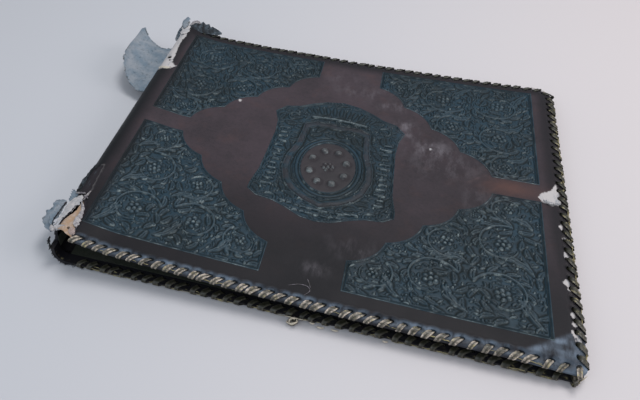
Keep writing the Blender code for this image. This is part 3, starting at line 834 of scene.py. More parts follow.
def bare_places(points):
    """Where the grain is gone: 1 on torn white places, with ragged rims."""
    ragged = 0.5 * MM * Ripple(11, 3 * MM).over(points)
    edge = 0.25 * MM
    lip = polygon_distance(points, SKINNED_CORNER) + 0.6 * ragged
    lip = bell(lip, -0.5 * MM, 0.45 * MM) * (points[:, 0] > 8 * MM)
    lip = lip * smooth(points[:, 1], 34 * MM, 46 * MM)
    bare = smooth(polygon_distance(points, FORE_PATCH) + ragged, -edge, edge)
    strip = polygon_distance(points, HEAD_STRIP) + ragged
    bare = np.maximum(bare, smooth(strip, -edge, edge))
    bare = np.maximum(bare, lip * 0.15)
    for x, y, radius in CHIPS:
        away = np.hypot(points[:, 0] - x * MM, (points[:, 1] - y * MM) * 0.8)
        bare = np.maximum(bare, smooth(radius * MM - away + 1.2 * ragged, -edge, edge))
    return bare


def skinned_places(points):
    """Where the top layer is peeled from the tail of the back, dark and fibrous."""
    ragged = 0.6 * MM * Ripple(12, 5 * MM).over(points)
    return smooth(polygon_distance(points, SKINNED_CORNER) + ragged, -0.3 * MM, 0.3 * MM)


def torn_rim(points):
    """Positive outside the torn tail corner."""
    ragged = 0.5 * MM * Ripple(14, 6 * MM).over(points)
    return -polygon_distance(points, TORN_CORNER) + ragged


def star_rim(points):
    """Positive outside the small star-shaped holes in the peeled head of the back."""
    nearest = np.full(len(points), np.inf)
    for x, y, radius in STAR_HOLES:
        away = points - np.array((x, y)) * MM
        angle = np.arctan2(away[:, 1], away[:, 0])
        nearest = np.minimum(nearest, np.hypot(*away.T) - radius * MM * (1 + 0.4 * np.cos(5 * angle)))
    return nearest


def front_rims():
    """Distances from what is cut out of the front hide: panels, torn corner, small holes."""
    return [torn_rim, star_rim] + [border(outline, -1) for outline in (*PANELS.values(), CARTOUCHE)]


def grain(shade):
    """Height of leather grain: pores, pebbles and creases."""
    pores = shade.cells(1500.0)
    pebble = shade.noise(900.0, 4.0, 0.6)
    wrinkle = shade.noise(120.0, 5.0, 0.65)
    return pores * 0.5 + pebble * 0.6 + wrinkle * 0.5


def hide_material(name, colours, panel=False, plain=False):
    """Worn painted leather: blue-grey on a panel, purple-brown on the field, black if plain."""
    light = colours.panel if panel else colours.field
    dark = colours.panel_dark if panel else colours.field_dark
    shade = Shade(name, light, 0.45)
    shade.shader.inputs["Specular IOR Level"].default_value = 0.3 if panel else 0.16
    mottle = shade.between(shade.noise(28.0, 5.0, 0.6), 0.35, 0.7)
    speckle = shade.between(shade.noise(420.0, 3.0, 0.7), 0.4, 0.75)
    colour = shade.blend(light, dark, mottle * 0.5 + speckle * 0.3)
    if not panel:
        cloud = shade.between(shade.noise(75.0, 4.0, 0.6), 0.5, 0.75)
        colour = shade.blend(colour, colours.rust, cloud * 0.16)
    streak = shade.noise(130.0, 6.0, 0.7, (1, 0.4, 1), 0.5)
    bloom = shade.mask("scuff") * shade.between(streak, 0.42, 0.66)
    shine = 0.44 + mottle * 0.1 + bloom * 0.2
    height = grain(shade)
    if panel:
        # Dark ground round the scrolls, with painted shade on slopes that face away from the tail
        colour = shade.blend(colour, dark, shade.mask("ink"))
        brown = shade.blend(colours.field, colours.field_dark, mottle * 0.3 + 0.8)
        colour = shade.blend(colour, brown, shade.mask("brown"))
        # Pale tops and rims: wear and painted highlights
        crest = shade.mask("raised")
        colour = shade.blend(colour, colours.rubbed, crest * (0.25 + speckle * 0.6))
        shine = 0.5 - crest * 0.28 + bloom * 0.15 + shade.mask("ink") * 0.3
    # Darker places; on the front hide these include painted shadow round the lacing holes
    colour = shade.blend(colour, colours.back, shade.mask("dirt"))
    colour = shade.blend(colour, colours.scuff, bloom)
    colour = shade.blend(colour, colours.rust, shade.mask("rust") * (0.5 + mottle * 0.5))
    if not panel:
        # Painted reflection, bluish, past the crease and along the tail margin
        sheen = shade.mask("sheen") * shade.between(streak, 0.28, 0.62)
        colour = shade.blend(colour, colours.sheen, sheen)
        skin = shade.mask("skinned")
        fibre = shade.noise(260.0, 4.0, 0.7, (1, 0.3, 1))
        flayed = shade.blend(colours.field_dark, colours.suede, shade.between(fibre, 0.54, 0.8) * 0.6)
        colour = shade.blend(colour, flayed, skin)
        bare = shade.mask("bare")
        paper = shade.blend(colours.torn, colours.suede, shade.between(fibre, 0.5, 0.8))
        colour = shade.blend(colour, paper, bare)
        if plain:
            # Painted glints flecked along the plain hide's rim
            colour = shade.blend(colour, colours.glint, shade.mask("glint") * speckle)
        shine = shine + (skin + bare) * 0.4 - sheen * 0.12
        height = height + fibre * (skin + bare) * 2.0
    return shade.finish(colour, shine, height, 0.12 * MM, 0.55)


class ALBUM_OT_front_hide(bpy.types.Operator):
    """Build the front cover's hide round its tooled panels"""

    bl_idname = "album.front_hide"
    bl_label = "Front hide"

    def execute(self, context):
        sizes = context.scene.album_sizes
        item = as_object("front_hide", hide_sheet(sizes, front_rims(), front_marks()))
        points, lower = sheet_places(item)
        bare = bare_places(points)
        skinned = skinned_places(points)
        top = margin_drop(points, sizes) + MM * np.maximum(0.35 * bare, 0.8 * skinned)
        depth = np.where(lower, under_depth(points, sizes), top)
        lay(item, FRONT, points, np.where(lower, np.maximum(depth, top + THINNEST), depth))
        bare = np.where(lower, 0, bare)
        skinned = np.where(lower, 0, skinned)
        paint(item, bare=bare, skinned=skinned * (1 - bare), scuff=blobs(points, SCUFFS),
              rust=blobs(points, [(*RUST_WORN, 0.95)]), dirt=edge_shade(points, sizes),
              sheen=sheen_places(points, sizes) * (1 - bare))
        material = hide_material("tooled hide", context.scene.album_colours)
        publish(item, material, None, ["front_leather"])
        top_fold = HINGE_HEIGHTS[1] + 1.5 * MM
        top_fold - 1.5 * MM
        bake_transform(item)
        return {"FINISHED"}


# Beyond every patch, so that clearance() always has something to measure to
FAR_PLACE = (1.0, 1.0, 0.0)


class Tooling:
    """Raised strokes and bosses on a patch of hide, worked out at each of its places."""

    def __init__(self, points):
        self.points = points
        self.raised = np.zeros(len(points))
        self.ink = np.zeros(len(points))
        self.taken = np.array([FAR_PLACE])

    def clearance(self, spot):
        """Free distance round a spot."""
        x, y, radius = self.taken.T
        return (np.hypot(x - spot[0], y - spot[1]) - radius).min()

    def take(self, rows):
        self.taken = np.concatenate([self.taken, rows])

    def nearness(self, path, widths):
        """Places near a path, and how many half-widths they are from it."""
        reach = widths.max() * 2 + 0.5 * MM
        low = path.min(axis=0) - reach
        high = path.max(axis=0) + reach
        close = np.flatnonzero(((self.points > low) & (self.points < high)).all(axis=1))
        place = self.points[close]
        best = np.full(len(close), np.inf)
        for (a, b, first, second) in zip(path, path[1:], widths, widths[1:]):
            side = b - a
            share = np.clip(((place - a) @ side) / max(side @ side, 1e-12), 0, 1)
            away = np.linalg.norm(place - a - share[:, None] * side, axis=1)
            half = np.maximum((first + (second - first) * share) / 2, 0.15 * MM)
            best = np.minimum(best, away / half)
        return close, best

    def stroke(self, path, widths, rise):
        """A rounded ridge along a path, pressed in on both sides."""
        path = np.asarray([tuple(place) for place in path], float)
        widths = np.broadcast_to(np.asarray(widths, float), len(path))
        self.take(np.column_stack([path, widths / 2]))
        close, best = self.nearness(path, widths)
        ridge = np.sqrt(np.clip(1 - best ** 2, 0, 1)) * rise
        self.raised[close] = np.maximum(self.raised[close], ridge)
        self.ink[close] = np.maximum(self.ink[close], bell(best, 1.3, 0.5))

    def press(self, path, width):
        """A fine line pressed into what is already raised."""
        close, best = self.nearness(np.asarray(path, float), np.full(len(path), width))
        line = bell(best, 0, 1)
        self.raised[close] *= 1 - 0.75 * line
        self.ink[close] = np.maximum(self.ink[close], 0.8 * line)

    def boss(self, centre, radius, rise):
        """A domed boss."""
        self.take(np.array([(centre[0], centre[1], radius)]))
        away = self.points - np.array(centre)
        close = np.flatnonzero(np.abs(away).max(axis=1) < radius * 2.6)
        near = np.linalg.norm(away[close], axis=1) / radius
        dome = np.sqrt(np.clip(1 - near ** 2, 0, 1)) * rise
        self.raised[close] = np.maximum(self.raised[close], dome)
        self.ink[close] = np.maximum(self.ink[close], bell(near, 1.25, 0.35) * 0.9)

    def line(self, distance, offset, width, rise):
        """A ridge at one distance inside an outline."""
        near = np.abs(distance - offset) / (width / 2)
        self.raised = np.maximum(self.raised, np.sqrt(np.clip(1 - near ** 2, 0, 1)) * rise)
        self.ink = np.maximum(self.ink, bell(near, 1.6, 0.6) * 0.7)


def heading(angle):
    return np.array((math.cos(angle), math.sin(angle)))


def curl(start, angle, length, turn, steps=7):
    """A short path that keeps turning, like a leaf's midrib."""
    path = [np.asarray(start, float)]
    for step in range(steps):
        path.append(path[-1] + heading(angle) * length / steps)
        angle += turn / steps
    return path


LEAF_BLADE = np.array((0.35, 0.8, 1.1, 1.15, 1.0, 0.75, 0.45, 0.15))
LOBES = ((2, 1), (3, -1), (4, 1), (5, -1))
LARGE_LEAF = 7 * MM


def leaf(tooling, root, angle, length, turn, width, rise=1.0):
    """A lobed leaf: a broad blade that tapers, lobes on both sides and a pressed midrib."""
    swell = LEAF_BLADE * width
    rib = curl(root, angle, length, turn)
    for number, side in LOBES:
        lean = angle + turn * number / 7 + side * 0.75
        lobe = curl(rib[number], lean, length * (0.44 - 0.04 * number), -side * 1.3, 4)
        tooling.stroke(lobe, swell[[0, 2, 3, 5, 7]] * 0.8, 0.9 * rise)
        if length > LARGE_LEAF:
            tooling.boss(lobe[-1], 0.3 * width, 1.3 * rise)
    tooling.stroke(rib, swell * 1.3, rise)
    if length > LARGE_LEAF:
        tooling.press(rib[1:6], 0.55 * MM)


SCROLL_TURNS = 0.74
SCROLL_STEPS = 30
SCROLL_LEAVES = 6
PETALS = 6


def scroll(tooling, centre, radius, start, hand):
    """A spiral stem with leaves outside it, tendrils inside it and a flower at its heart."""
    centre = np.asarray(tuple(centre))
    shares = np.linspace(0, 1, SCROLL_STEPS)
    angles = start + hand * 2 * math.pi * SCROLL_TURNS * shares
    reach = radius * (1.08 - 0.50 * shares)
    path = [centre + r * heading(a) for r, a in zip(reach, angles)]
    tooling.stroke(path, np.linspace(2.0, 1.1, len(path)) * MM * (0.6 + radius / (40 * MM)), 1.05)
    for number in range(SCROLL_LEAVES):
        share = 0.03 + 0.76 * number / SCROLL_LEAVES
        index = int(share * (len(path) - 1))
        tangent = angles[index] + hand * math.pi / 2
        scale = 1.1 - 0.45 * share
        leaf(tooling, path[index], tangent - hand * 0.8, radius * 0.58 * scale, hand * 1.3,
             2.3 * MM * scale)
        if number % 2:
            tendril = curl(path[index], tangent + hand * 0.7, radius * 0.28, hand * 2.4)
            tooling.stroke(tendril, 0.9 * MM, 0.85)
            tooling.boss(tendril[-1], 0.85 * MM, 1.4)
    flower(tooling, centre, radius * 0.30, start)


def flower(tooling, centre, radius, start):
    """A flower: petals round a boss."""
    for number in range(PETALS):
        angle = start + 2 * math.pi * number / PETALS
        rise = 1.15 + 0.3 * math.cos(angle * 3 + start)
        tooling.boss(np.asarray(centre) + heading(angle) * radius * 0.72, radius * 0.34, rise)
    tooling.boss(centre, radius * 0.32, 1.4)


def jittered(low, high, pitch, draw, inside):
    """Places about one pitch apart, kept where inside() says so."""
    columns = np.arange(low[0], high[0], pitch)
    rows = np.arange(low[1], high[1], pitch)
    spots = np.stack(np.meshgrid(columns, rows), axis=-1).reshape(-1, 2)
    spots = spots + draw.uniform(-0.4, 0.4, spots.shape) * pitch
    return spots[inside(spots)]


FILL_LEAVES = ((3.1 * MM, 9.0 * MM, 2.5 * MM), (1.7 * MM, 4.2 * MM, 1.5 * MM))
FILL_BLADE = np.array((0.4, 0.8, 1, 1, 0.9, 0.7, 0.5, 0.2))
BERRY_PITCH = 2.1 * MM


def fill_in(tooling, low, high, centres, seed, inside, rise):
    """Small leaves and berries wherever the ground is still free, swirling round the centres."""
    draw = np.random.default_rng(seed)
    centres = np.asarray(centres, float)
    for clear, length, width in FILL_LEAVES:
        for spot in jittered(low, high, 2.1 * clear, draw, inside):
            if tooling.clearance(spot) < clear:
                continue
            arm = spot - centres[np.argmin(np.hypot(*(centres - spot).T))]
            way = math.atan2(arm[1], arm[0]) + math.pi / 2 + draw.uniform(-0.5, 0.5)
            turn = draw.choice((-1, 1)) * draw.uniform(0.5, 1.5)
            root = spot - heading(way + turn / 2) * length * 0.42
            if clear > 2 * MM:
                leaf(tooling, root, way, length, turn, width, rise)
            else:
                tooling.stroke(curl(root, way, length, turn), FILL_BLADE * width, rise)
    for spot in jittered(low, high, BERRY_PITCH, draw, inside):
        if tooling.clearance(spot) > BERRY_PITCH / 2 and draw.random() < 0.6:
            tooling.boss(spot, draw.uniform(0.5, 0.9) * MM, draw.uniform(0.4, 1.4))


PANEL_SCROLLS = [
    (26, 25, 16.5, 0.4, 1), (67, 26, 16.5, 2.6, -1), (25, 66, 16.0, 1.9, -1), (59, 60, 13.5, 4.0, 1),
    (101, 20, 12.0, 2.2, 1), (21, 99, 11.0, 5.2, 1), (88, 46, 8.0, 1.0, -1), (43, 88, 7.5, 0.5, 1),
]
PANEL_STEMS = [
    (4, 5, 0.75, 26, 0.9), (8, 44, 1.2, 22, -1.5), (46, 7, 0.4, 24, 1.4), (46, 44, 0.8, 16, -1.2),
    (84, 6, 0.5, 20, 1.3), (7, 84, 1.0, 16, -1.2), (34, 84, 0.2, 13, 1.6), (76, 46, 0.2, 13, 1.6),
]
STEM_LEAF = 2.6 * MM
PANEL_CLEAR = 2.6 * MM


def tool_panel(tooling, side_x, side_y):
    """The scroll foliage of one corner panel, laid out from its outer corner."""
    corner = CENTRE + Vector((side_x * (CENTRE.x - FRAME_LEFT), side_y * (CENTRE.y - FRAME_TAIL)))
    towards = np.array((-side_x, -side_y), float)
    local = Tooling((tooling.points - np.array(corner)) * towards)
    for x, y, radius, start, hand in PANEL_SCROLLS:
        scroll(local, (x * MM, y * MM), radius * MM, start, hand)
    for x, y, angle, length, turn in PANEL_STEMS:
        if local.clearance((x * MM, y * MM)) > 0:
            leaf(local, (x * MM, y * MM), angle, length * MM, turn, STEM_LEAF)
    outline = (np.array([tuple(point) for point in PANELS[side_x, side_y]]) - np.array(corner)) * towards
    centres = [(x * MM, y * MM) for x, y, *_ in PANEL_SCROLLS]
    seed = 21 + side_x + 3 * side_y

    def inside(spots):
        return polygon_distance(spots, outline) > PANEL_CLEAR

    fill_in(local, (2 * MM, 2 * MM), outline.max(axis=0), centres, seed, inside, 0.85)
    tooling.raised = np.maximum(tooling.raised, local.raised)
    tooling.ink = np.maximum(tooling.ink, local.ink)


def tooled_sheet(sizes, outline):
    """A tooled patch's flat closed mesh, cut to its outline."""
    corners = np.array([tuple(corner) for corner in outline])
    low = corners.min(axis=0)
    high = corners.max(axis=0)
    mesh = flat_grid(low, high, sizes.cell)
    trim(mesh, border(outline), 0.9 * sizes.cell)
    close_below(mesh, bend_stations(low[0], high[0]))
    return mesh


def tail_facing(points, raised, cell):
    """How steeply each place rises away from the tail, per cell."""
    index = np.rint((points - points.min(axis=0)) / cell).astype(int)
    table = np.zeros(index.max(axis=0) + 1)
    table[index[:, 0], index[:, 1]] = raised
    return np.gradient(table, axis=1)[index[:, 0], index[:, 1]]


def paint_patch(item, tooling, inset, cell, brown):
    """Wear and painted light of a tooled patch: worn pale crests that are partly painted highlight, painted
    highlights on the rims and on slopes that face the tail, dark ground, and painted shade on slopes that
    face away.
    """
    points, raised = tooling.points, tooling.raised
    patchy = smooth(Ripple(37, 14 * MM).over(points), -0.9, 0.9)
    # Painted highlight: a light line along the outline, on its sides that face the tail
    rim = bell(inset, 0.5 * MM, 0.4 * MM) * patchy * 0.8
    rim = rim * np.clip(0.3 + tail_facing(points, inset, cell) / cell, 0, 1)
    # Painted highlights below are weaker towards the head
    near = 1 - 0.5 * smooth(points[:, 1], 90 * MM, 215 * MM)
    # Pale crests: wear, partly painted highlight
    crest = np.minimum(raised / 1.4, 1) ** 4 * 0.75 * (1 - 0.5 * brown) * near
    # Painted highlight on slopes that face the tail
    slope = tail_facing(points, raised, cell)
    rubbed = smooth(Ripple(41, 6 * MM).over(points), -0.4, 1.0) * smooth(slope, 0.15, 0.5) * near
    # Dark ground round the strokes, and painted shade on slopes that face away from the tail
    ground = np.clip(tooling.ink, 0, 1) * np.clip(1 - raised, 0, 1)
    ground = np.maximum(ground, smooth(-slope, 0.12, 0.5) * 0.8)
    # Darker towards the back edge of the patch
    faded = (1 - smooth(points[:, 0], FRAME_LEFT, FRAME_LEFT + 9 * MM)) * 0.75
    paint(item, raised=np.maximum.reduce([crest, rim, rubbed]), ink=ground * 0.95, brown=brown,
          scuff=blobs(points, SCUFFS), dirt=faded, rust=blobs(points, [(*RUST_WORN, 0.4)]))


def tooled_patch(name, context, outline, tool, brown=None):
    """Make, tool, bend and finish one patch; brown gives its brown places."""
    sizes = context.scene.album_sizes
    item = as_object(name, tooled_sheet(sizes, outline))
    points, lower = sheet_places(item)
    tooling = Tooling(points)
    tool(tooling)
    inset = polygon_distance(points, outline)
    tooling.raised *= smooth(inset, 1.7 * MM, 2.6 * MM)
    tooling.ink *= smooth(inset, 1.6 * MM, 2.4 * MM)
    tooling.line(inset, 0.35 * MM, 0.8 * MM, 0.75)
    tooling.line(inset, 1.9 * MM, 0.55 * MM, 0.45)
    inner = smooth(inset, 0.3 * MM, 1.2 * MM)
    uneven = 0.08 * MM * Ripple(31, 9 * MM).over(points)
    pressed = 0.35 * MM * tooling.ink * np.clip(1 - tooling.raised, 0, 1)
    top = sizes.sink * (0.35 + 0.65 * inner) - sizes.relief * tooling.raised + uneven * inner + pressed
    lay(item, FRONT, points, np.where(lower, sizes.hide, top))
    paint_patch(item, tooling, inset, sizes.cell, brown(points) if brown else np.zeros(len(points)))
    material = bpy.data.materials.get("painted hide")
    if material is None:
        material = hide_material("painted hide", context.scene.album_colours, panel=True)
    return publish(item, material, "front_cover", ["front_leather"], crease=60)


class ALBUM_OT_panels(bpy.types.Operator):
    """Tool the four corner panels of the front cover"""

    bl_idname = "album.panels"
    bl_label = "Corner panels"

    def execute(self, context):
        names = {(-1, -1): "panel_tail_back", (-1, 1): "panel_head_back",
                 (1, -1): "panel_tail_fore", (1, 1): "panel_head_fore"}
        for (side_x, side_y), outline in PANELS.items():
            tooled_patch(names[side_x, side_y], context, outline,
                         lambda tooling, x=side_x, y=side_y: tool_panel(tooling, x, y))
        return {"FINISHED"}


SHIELD_HALF = np.array([
    (-4, 36), (8, 37), (18, 36), (25, 32), (25.5, 22), (27, 6), (31, -8), (32, -22), (28, -36),
    (22, -44), (12, -51), (0, -56),
]) * MM
ARCH_BAR = np.array([(-20.6, 41.4), (-14, 42.1), (-2.7, 42.9), (8.8, 42.3), (20.6, 40.6)]) * MM
BEAD_ROWS = 13
PALMETTE_RAYS = 11
PALMETTE_BLADE = np.array((0.8, 1.4, 2.0, 2.4, 2.6, 2.2, 1.5, 0.6)) * MM
RING_BOSSES = 8
STRAP_WIDTH = 4.6 * MM


def tool_medallion(tooling):
    """The central frame: strapwork shield, ring, generic rosette, arch, beads and palmette."""
    centre = np.array(CENTRE)
    for outline in (SHIELD_HALF, SHIELD_HALF[::-1] * (-1, 1)):
        tooling.stroke(centre + outline * 0.925, STRAP_WIDTH * 1.05, 0.45)
        tooling.stroke(centre + outline, 1.1 * MM, 0.9)
        tooling.stroke(centre + outline * (0.85, 0.86), 0.9 * MM, 0.7)
    tooling.stroke(centre + ARCH_BAR, 2.1 * MM, 1.6)
    draw = np.random.default_rng(63)
    for number in range(PALMETTE_RAYS):
        share = number / (PALMETTE_RAYS - 1) - 0.5
        root = centre + np.array((share * 46, 47 - 6 * share * share)) * MM
        ray = curl(root, math.pi / 2 - share * 0.9, (12 - 22 * share * share) * MM, -share * 0.8)
        tooling.stroke(ray, PALMETTE_BLADE, 0.45)
    for side in (-1, 1):
        for number in range(BEAD_ROWS):
            spot = centre + np.array((side * 38.6 + draw.uniform(-0.8, 0.8), 22 - number * 5.4)) * MM
            half = draw.uniform(1.6, 3.6) * MM
            tooling.stroke([spot - (half, 0), spot + (half, 0)], 1.7 * MM, draw.uniform(0.9, 1.5))
        corner = centre + np.array((side * 36, 34)) * MM
        tooling.stroke(curl(corner, math.pi / 2 - side * 1.0, 16 * MM, side * 3.6), 1.5 * MM, 0.9)
        lower = centre + np.array((side * 37, -52)) * MM
        tooling.stroke(curl(lower, math.pi / 2 + side * 1.2, 15 * MM, side * 3.4), 1.5 * MM, 0.9)
    for row, y in enumerate((-58.5, -63)):
        for number in range(-5 + row, 6 - row):
            spot = centre + np.array((number * 4.9, y + 0.10 * number * number)) * MM
            half = draw.uniform(0.9, 2.2) * MM
            tooling.stroke([spot - (half, 0), spot + (half, 0)], 1.5 * MM, draw.uniform(0.8, 1.4))
    ring(tooling)
    outline = np.array([tuple(point) for point in CARTOUCHE])
    hub = [tuple(DISC_CENTRE)]

    def inside(spots):
        away = (spots - np.array(DISC_CENTRE)) / np.array(DISC_HALF)
        return (polygon_distance(spots, outline) > 3 * MM) & (np.linalg.norm(away, axis=1) > 1.36)

    fill_in(tooling, outline.min(axis=0), outline.max(axis=0), hub, 61, inside, 0.55)


def ring(tooling):
    """The roundel: two fine rings, a sunk disc, eight bosses and a small flower."""
    angles = np.linspace(0, 2 * math.pi, 49)
    circle = np.stack([np.cos(angles) * DISC_HALF.x, np.sin(angles) * DISC_HALF.y], axis=1)
    middle = np.array(DISC_CENTRE)
    tooling.stroke(middle + circle * 1.04, 1.0 * MM, 0.8)
    tooling.stroke(middle + circle * 1.15, 2.2 * MM, 0.2)
    tooling.stroke(middle + circle * 1.25, 0.9 * MM, 0.7)
    for number in range(RING_BOSSES):
        angle = 2 * math.pi * (number + 0.5) / RING_BOSSES
        spot = middle + np.array((math.cos(angle) * DISC_HALF.x, math.sin(angle) * DISC_HALF.y)) * 0.68
        tooling.boss(spot, 2.7 * MM, 2.2)
    flower(tooling, middle, 4.4 * MM, 0.3)


def brown_disc(points):
    """The roundel keeps the field's brown, and the strapwork is rubbed down to it in places."""
    away = (points - np.array(DISC_CENTRE)) / np.array(DISC_HALF)
    disc = 1 - smooth(np.linalg.norm(away, axis=1), 0.97, 1.02)
    shield = np.concatenate([SHIELD_HALF, SHIELD_HALF[-2::-1] * (-1, 1)]) + np.array(CENTRE)
    depth = polygon_distance(points, shield)
    strap = smooth(depth, -0.5 * MM, 0.5 * MM) * (1 - smooth(depth, STRAP_WIDTH - 1 * MM, STRAP_WIDTH))
    worn = smooth(Ripple(51, 9 * MM).over(points), -1.3, 0.6)
    return np.maximum(disc, strap * worn * 0.6)


class ALBUM_OT_medallion(bpy.types.Operator):
    """Tool the frame in the middle of the front cover"""

    bl_idname = "album.medallion"
    bl_label = "Medallion"

    def execute(self, context):
        tooled_patch("medallion", context, CARTOUCHE, tool_medallion, brown_disc)
        return {"FINISHED"}


class ALBUM_OT_rear_hide(bpy.types.Operator):
    """Build the plain rear cover's hide and the lower half of the back"""

    bl_idname = "album.rear_hide"
    bl_label = "Rear hide"

    def execute(self, context):
        sizes = context.scene.album_sizes
        item = as_object("rear_hide", hide_sheet(sizes, [], []))
        points, lower = sheet_places(item)
        top = np.maximum(margin_drop(points, sizes), 0)
        lay(item, REAR, points, np.where(lower, under_depth(points, sizes), top))
        peeled = smooth(points[:, 1], WIDTH - 90 * MM, WIDTH - 86 * MM)
        peeled = peeled * smooth(-points[:, 0], -FOLD_U + 0.5 * MM, -FOLD_U + 1.5 * MM)
        none = np.zeros(len(points))
        inset = edge_distance(points)
        # Painted glints, flecked along the rim
        rim = bell(inset, 1.0 * MM, 0.9 * MM)
        flecks = smooth(Ripple(71, 4 * MM).over(points), 0.3, 1.3)
        peeled = np.where(lower, 0, peeled)
        paint(item, bare=peeled, skinned=none, scuff=none, rust=none, dirt=none + 0.9,
              sheen=none, glint=rim * flecks)
        material = hide_material("plain hide", context.scene.album_colours, plain=True)
        publish(item, material, None, ["rear_leather", "spine_leather"])
        low_fold = HINGE_HEIGHTS[0] - 1.0 * MM
        low_fold + 1.0 * MM
        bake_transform(item)
        return {"FINISHED"}


THONG_FACETS = 8
THONG_RINGS = 15
LAST_RISING_RING = 3
FIRST_SINKING_RING = 10


class Rod:
    """A closed rod of unit radius, with the ring, side and lift of each vertex, to be bent."""

    def __init__(self, facets, rings):
        mesh = bmesh.new()
        bmesh.ops.create_cone(mesh, cap_ends=True, segments=facets, radius1=1, radius2=1, depth=1)
        sides = [edge for edge in mesh.edges if abs(edge.verts[0].co.z - edge.verts[1].co.z) > 0.5]
        bmesh.ops.subdivide_edges(mesh, edges=sides, cuts=rings - 2)
        self.data = bpy.data.meshes.new("rod")
        mesh.to_mesh(self.data)
        mesh.free()
        self.side, self.lift, level = mesh_places(self.data).T
        self.rings = rings
        self.ring = np.rint((level + 0.5) * (rings - 1)).astype(int)

    def run(self, path):
        """Stations of the rings on a path, their places, and the way on at each."""
        at = np.linspace(0, len(path) - 1, self.rings)
        line = smooth_path(path, at)
        return at, line, np.gradient(line, axis=0)


def unit(vectors):
    return vectors / np.linalg.norm(vectors, axis=1)[:, None]


class Strap(Rod):
    """One strap shape, carried along a path of (along, inset, depth) for each stitch."""

    def __init__(self):
        super().__init__(THONG_FACETS, THONG_RINGS)
        self.crease = np.where(self.lift > 0, bell(self.side, 0, 0.4), 0)

    def along(self, path, width, thickness):
        """Places in (along, inset, depth) of a strap that is pinched where it enters its hole."""
        at, line, forward = self.run(np.asarray(path, float))
        forward = unit(forward)
        across = unit(np.array((1.0, 0, 0)) - forward * forward[:, :1])
        outward = np.cross(across, forward)
        broad = width * (0.6 + 0.4 * smooth(at, 1.0, 3.0))
        side = across[self.ring] * (self.side * broad[self.ring] / 2)[:, None]
        lift = outward[self.ring] * ((self.lift - 0.75 * self.crease) * thickness / 2)[:, None]
        return line[self.ring] + side + lift


def smooth_run(values, at):
    """Catmull-Rom values between stations; at gives places along them."""
    index = np.clip(at.astype(int), 0, len(values) - 2)
    s = at - index
    padded = np.concatenate([[2 * values[0] - values[1]], values, [2 * values[-1] - values[-2]]])
    a, b, c, d = (padded[index + k] for k in range(4))
    curve = (2 * a - 5 * b + 4 * c - d) * s ** 2 + (3 * b - a - 3 * c + d) * s ** 3
    return 0.5 * (2 * b + (c - a) * s + curve)


def smooth_path(points, at):
    """Places on a smooth line through points in space."""
    return np.stack([smooth_run(points[:, axis], at) for axis in range(3)], axis=1)


def stitch_path(sizes, slant, proud):
    """The middle of one stitch, as (along, inset, depth): out of a hole, over the edge and back."""
    half = sizes.thong / 2
    margin = sizes.margin_step
    over = margin - half - 0.15 * MM - proud
    under = margin + sizes.turn_in + half + 0.2 * MM
    return [
        (0, HOLE_INSET, margin + 1.9 * MM),
        (0, HOLE_INSET, margin + 0.6 * MM),
        (-0.10 * slant, HOLE_INSET - 0.9 * MM, over + 0.1 * MM),
        (-0.5 * slant, HOLE_INSET / 2, over - 0.1 * MM),
        (-0.86 * slant, 0.3 * MM, over + 0.55 * MM),
        (-1.0 * slant, -half - 0.25 * MM, (over + under) / 2 - 0.3 * MM),
        (-1.0 * slant, 0.2 * MM, under - 0.3 * MM),
        (-0.7 * slant, HOLE_INSET / 2, under + 0.05 * MM),
        (-0.2 * slant, HOLE_INSET, under - 0.2 * MM),
    ]


def lacing_object(name, sizes, cover, seed):
    """All stitches of one cover, each a little different; tail stitches are the palest."""
    strap = Strap()
    mesh = bmesh.new()
    draw = np.random.default_rng(seed)
    places = []
    worn = []
    glint = []
    for spot, along, outward in stitch_places(sizes.pitch):
        tail = faces_way(outward, TAIL_SIDE)
        head = faces_way(outward, HEAD_SIDE)
        slant = sizes.pitch * draw.uniform(0.42, 0.82)
        width = sizes.thong_width * draw.uniform(0.8, 1.2) * (1.2 if tail else 1.25)
        path = stitch_path(sizes, slant, draw.uniform(0.0, 0.4) * MM)
        flat = strap.along(path, width, sizes.thong)
        u = spot.x + along.x * flat[:, 0] - outward.x * flat[:, 1]
        v = spot.y + along.y * flat[:, 0] - outward.y * flat[:, 1]
        places.append(cover.place(u, v, flat[:, 2]))
        pale = draw.uniform(0.75, 1.0) if tail else draw.uniform(0.0, 0.22)
        if head:
            pale *= 0.1
        worn.append(np.full(len(flat), pale))
        # Painted glints of each stitch, almost none at the head
        glint.append(np.full(len(flat), 0.05 if head else draw.uniform(0.3, 0.9)))
        mesh.from_mesh(strap.data)
    item = as_object(name, mesh)
    places = np.concatenate(places)
    places[:, 2] = np.maximum(places[:, 2], 0.02 * MM)
    move_vertices(item, places)
    # Painted shade where the thong goes into its holes and along its crease
    down = (strap.ring <= LAST_RISING_RING) * 0.9 + (strap.ring >= FIRST_SINKING_RING) * 0.7
    hollow = np.maximum(down, strap.crease)
    paint(item, hollow=np.tile(hollow, len(worn)), worn=np.concatenate(worn),
          glint=np.concatenate(glint))
    return item


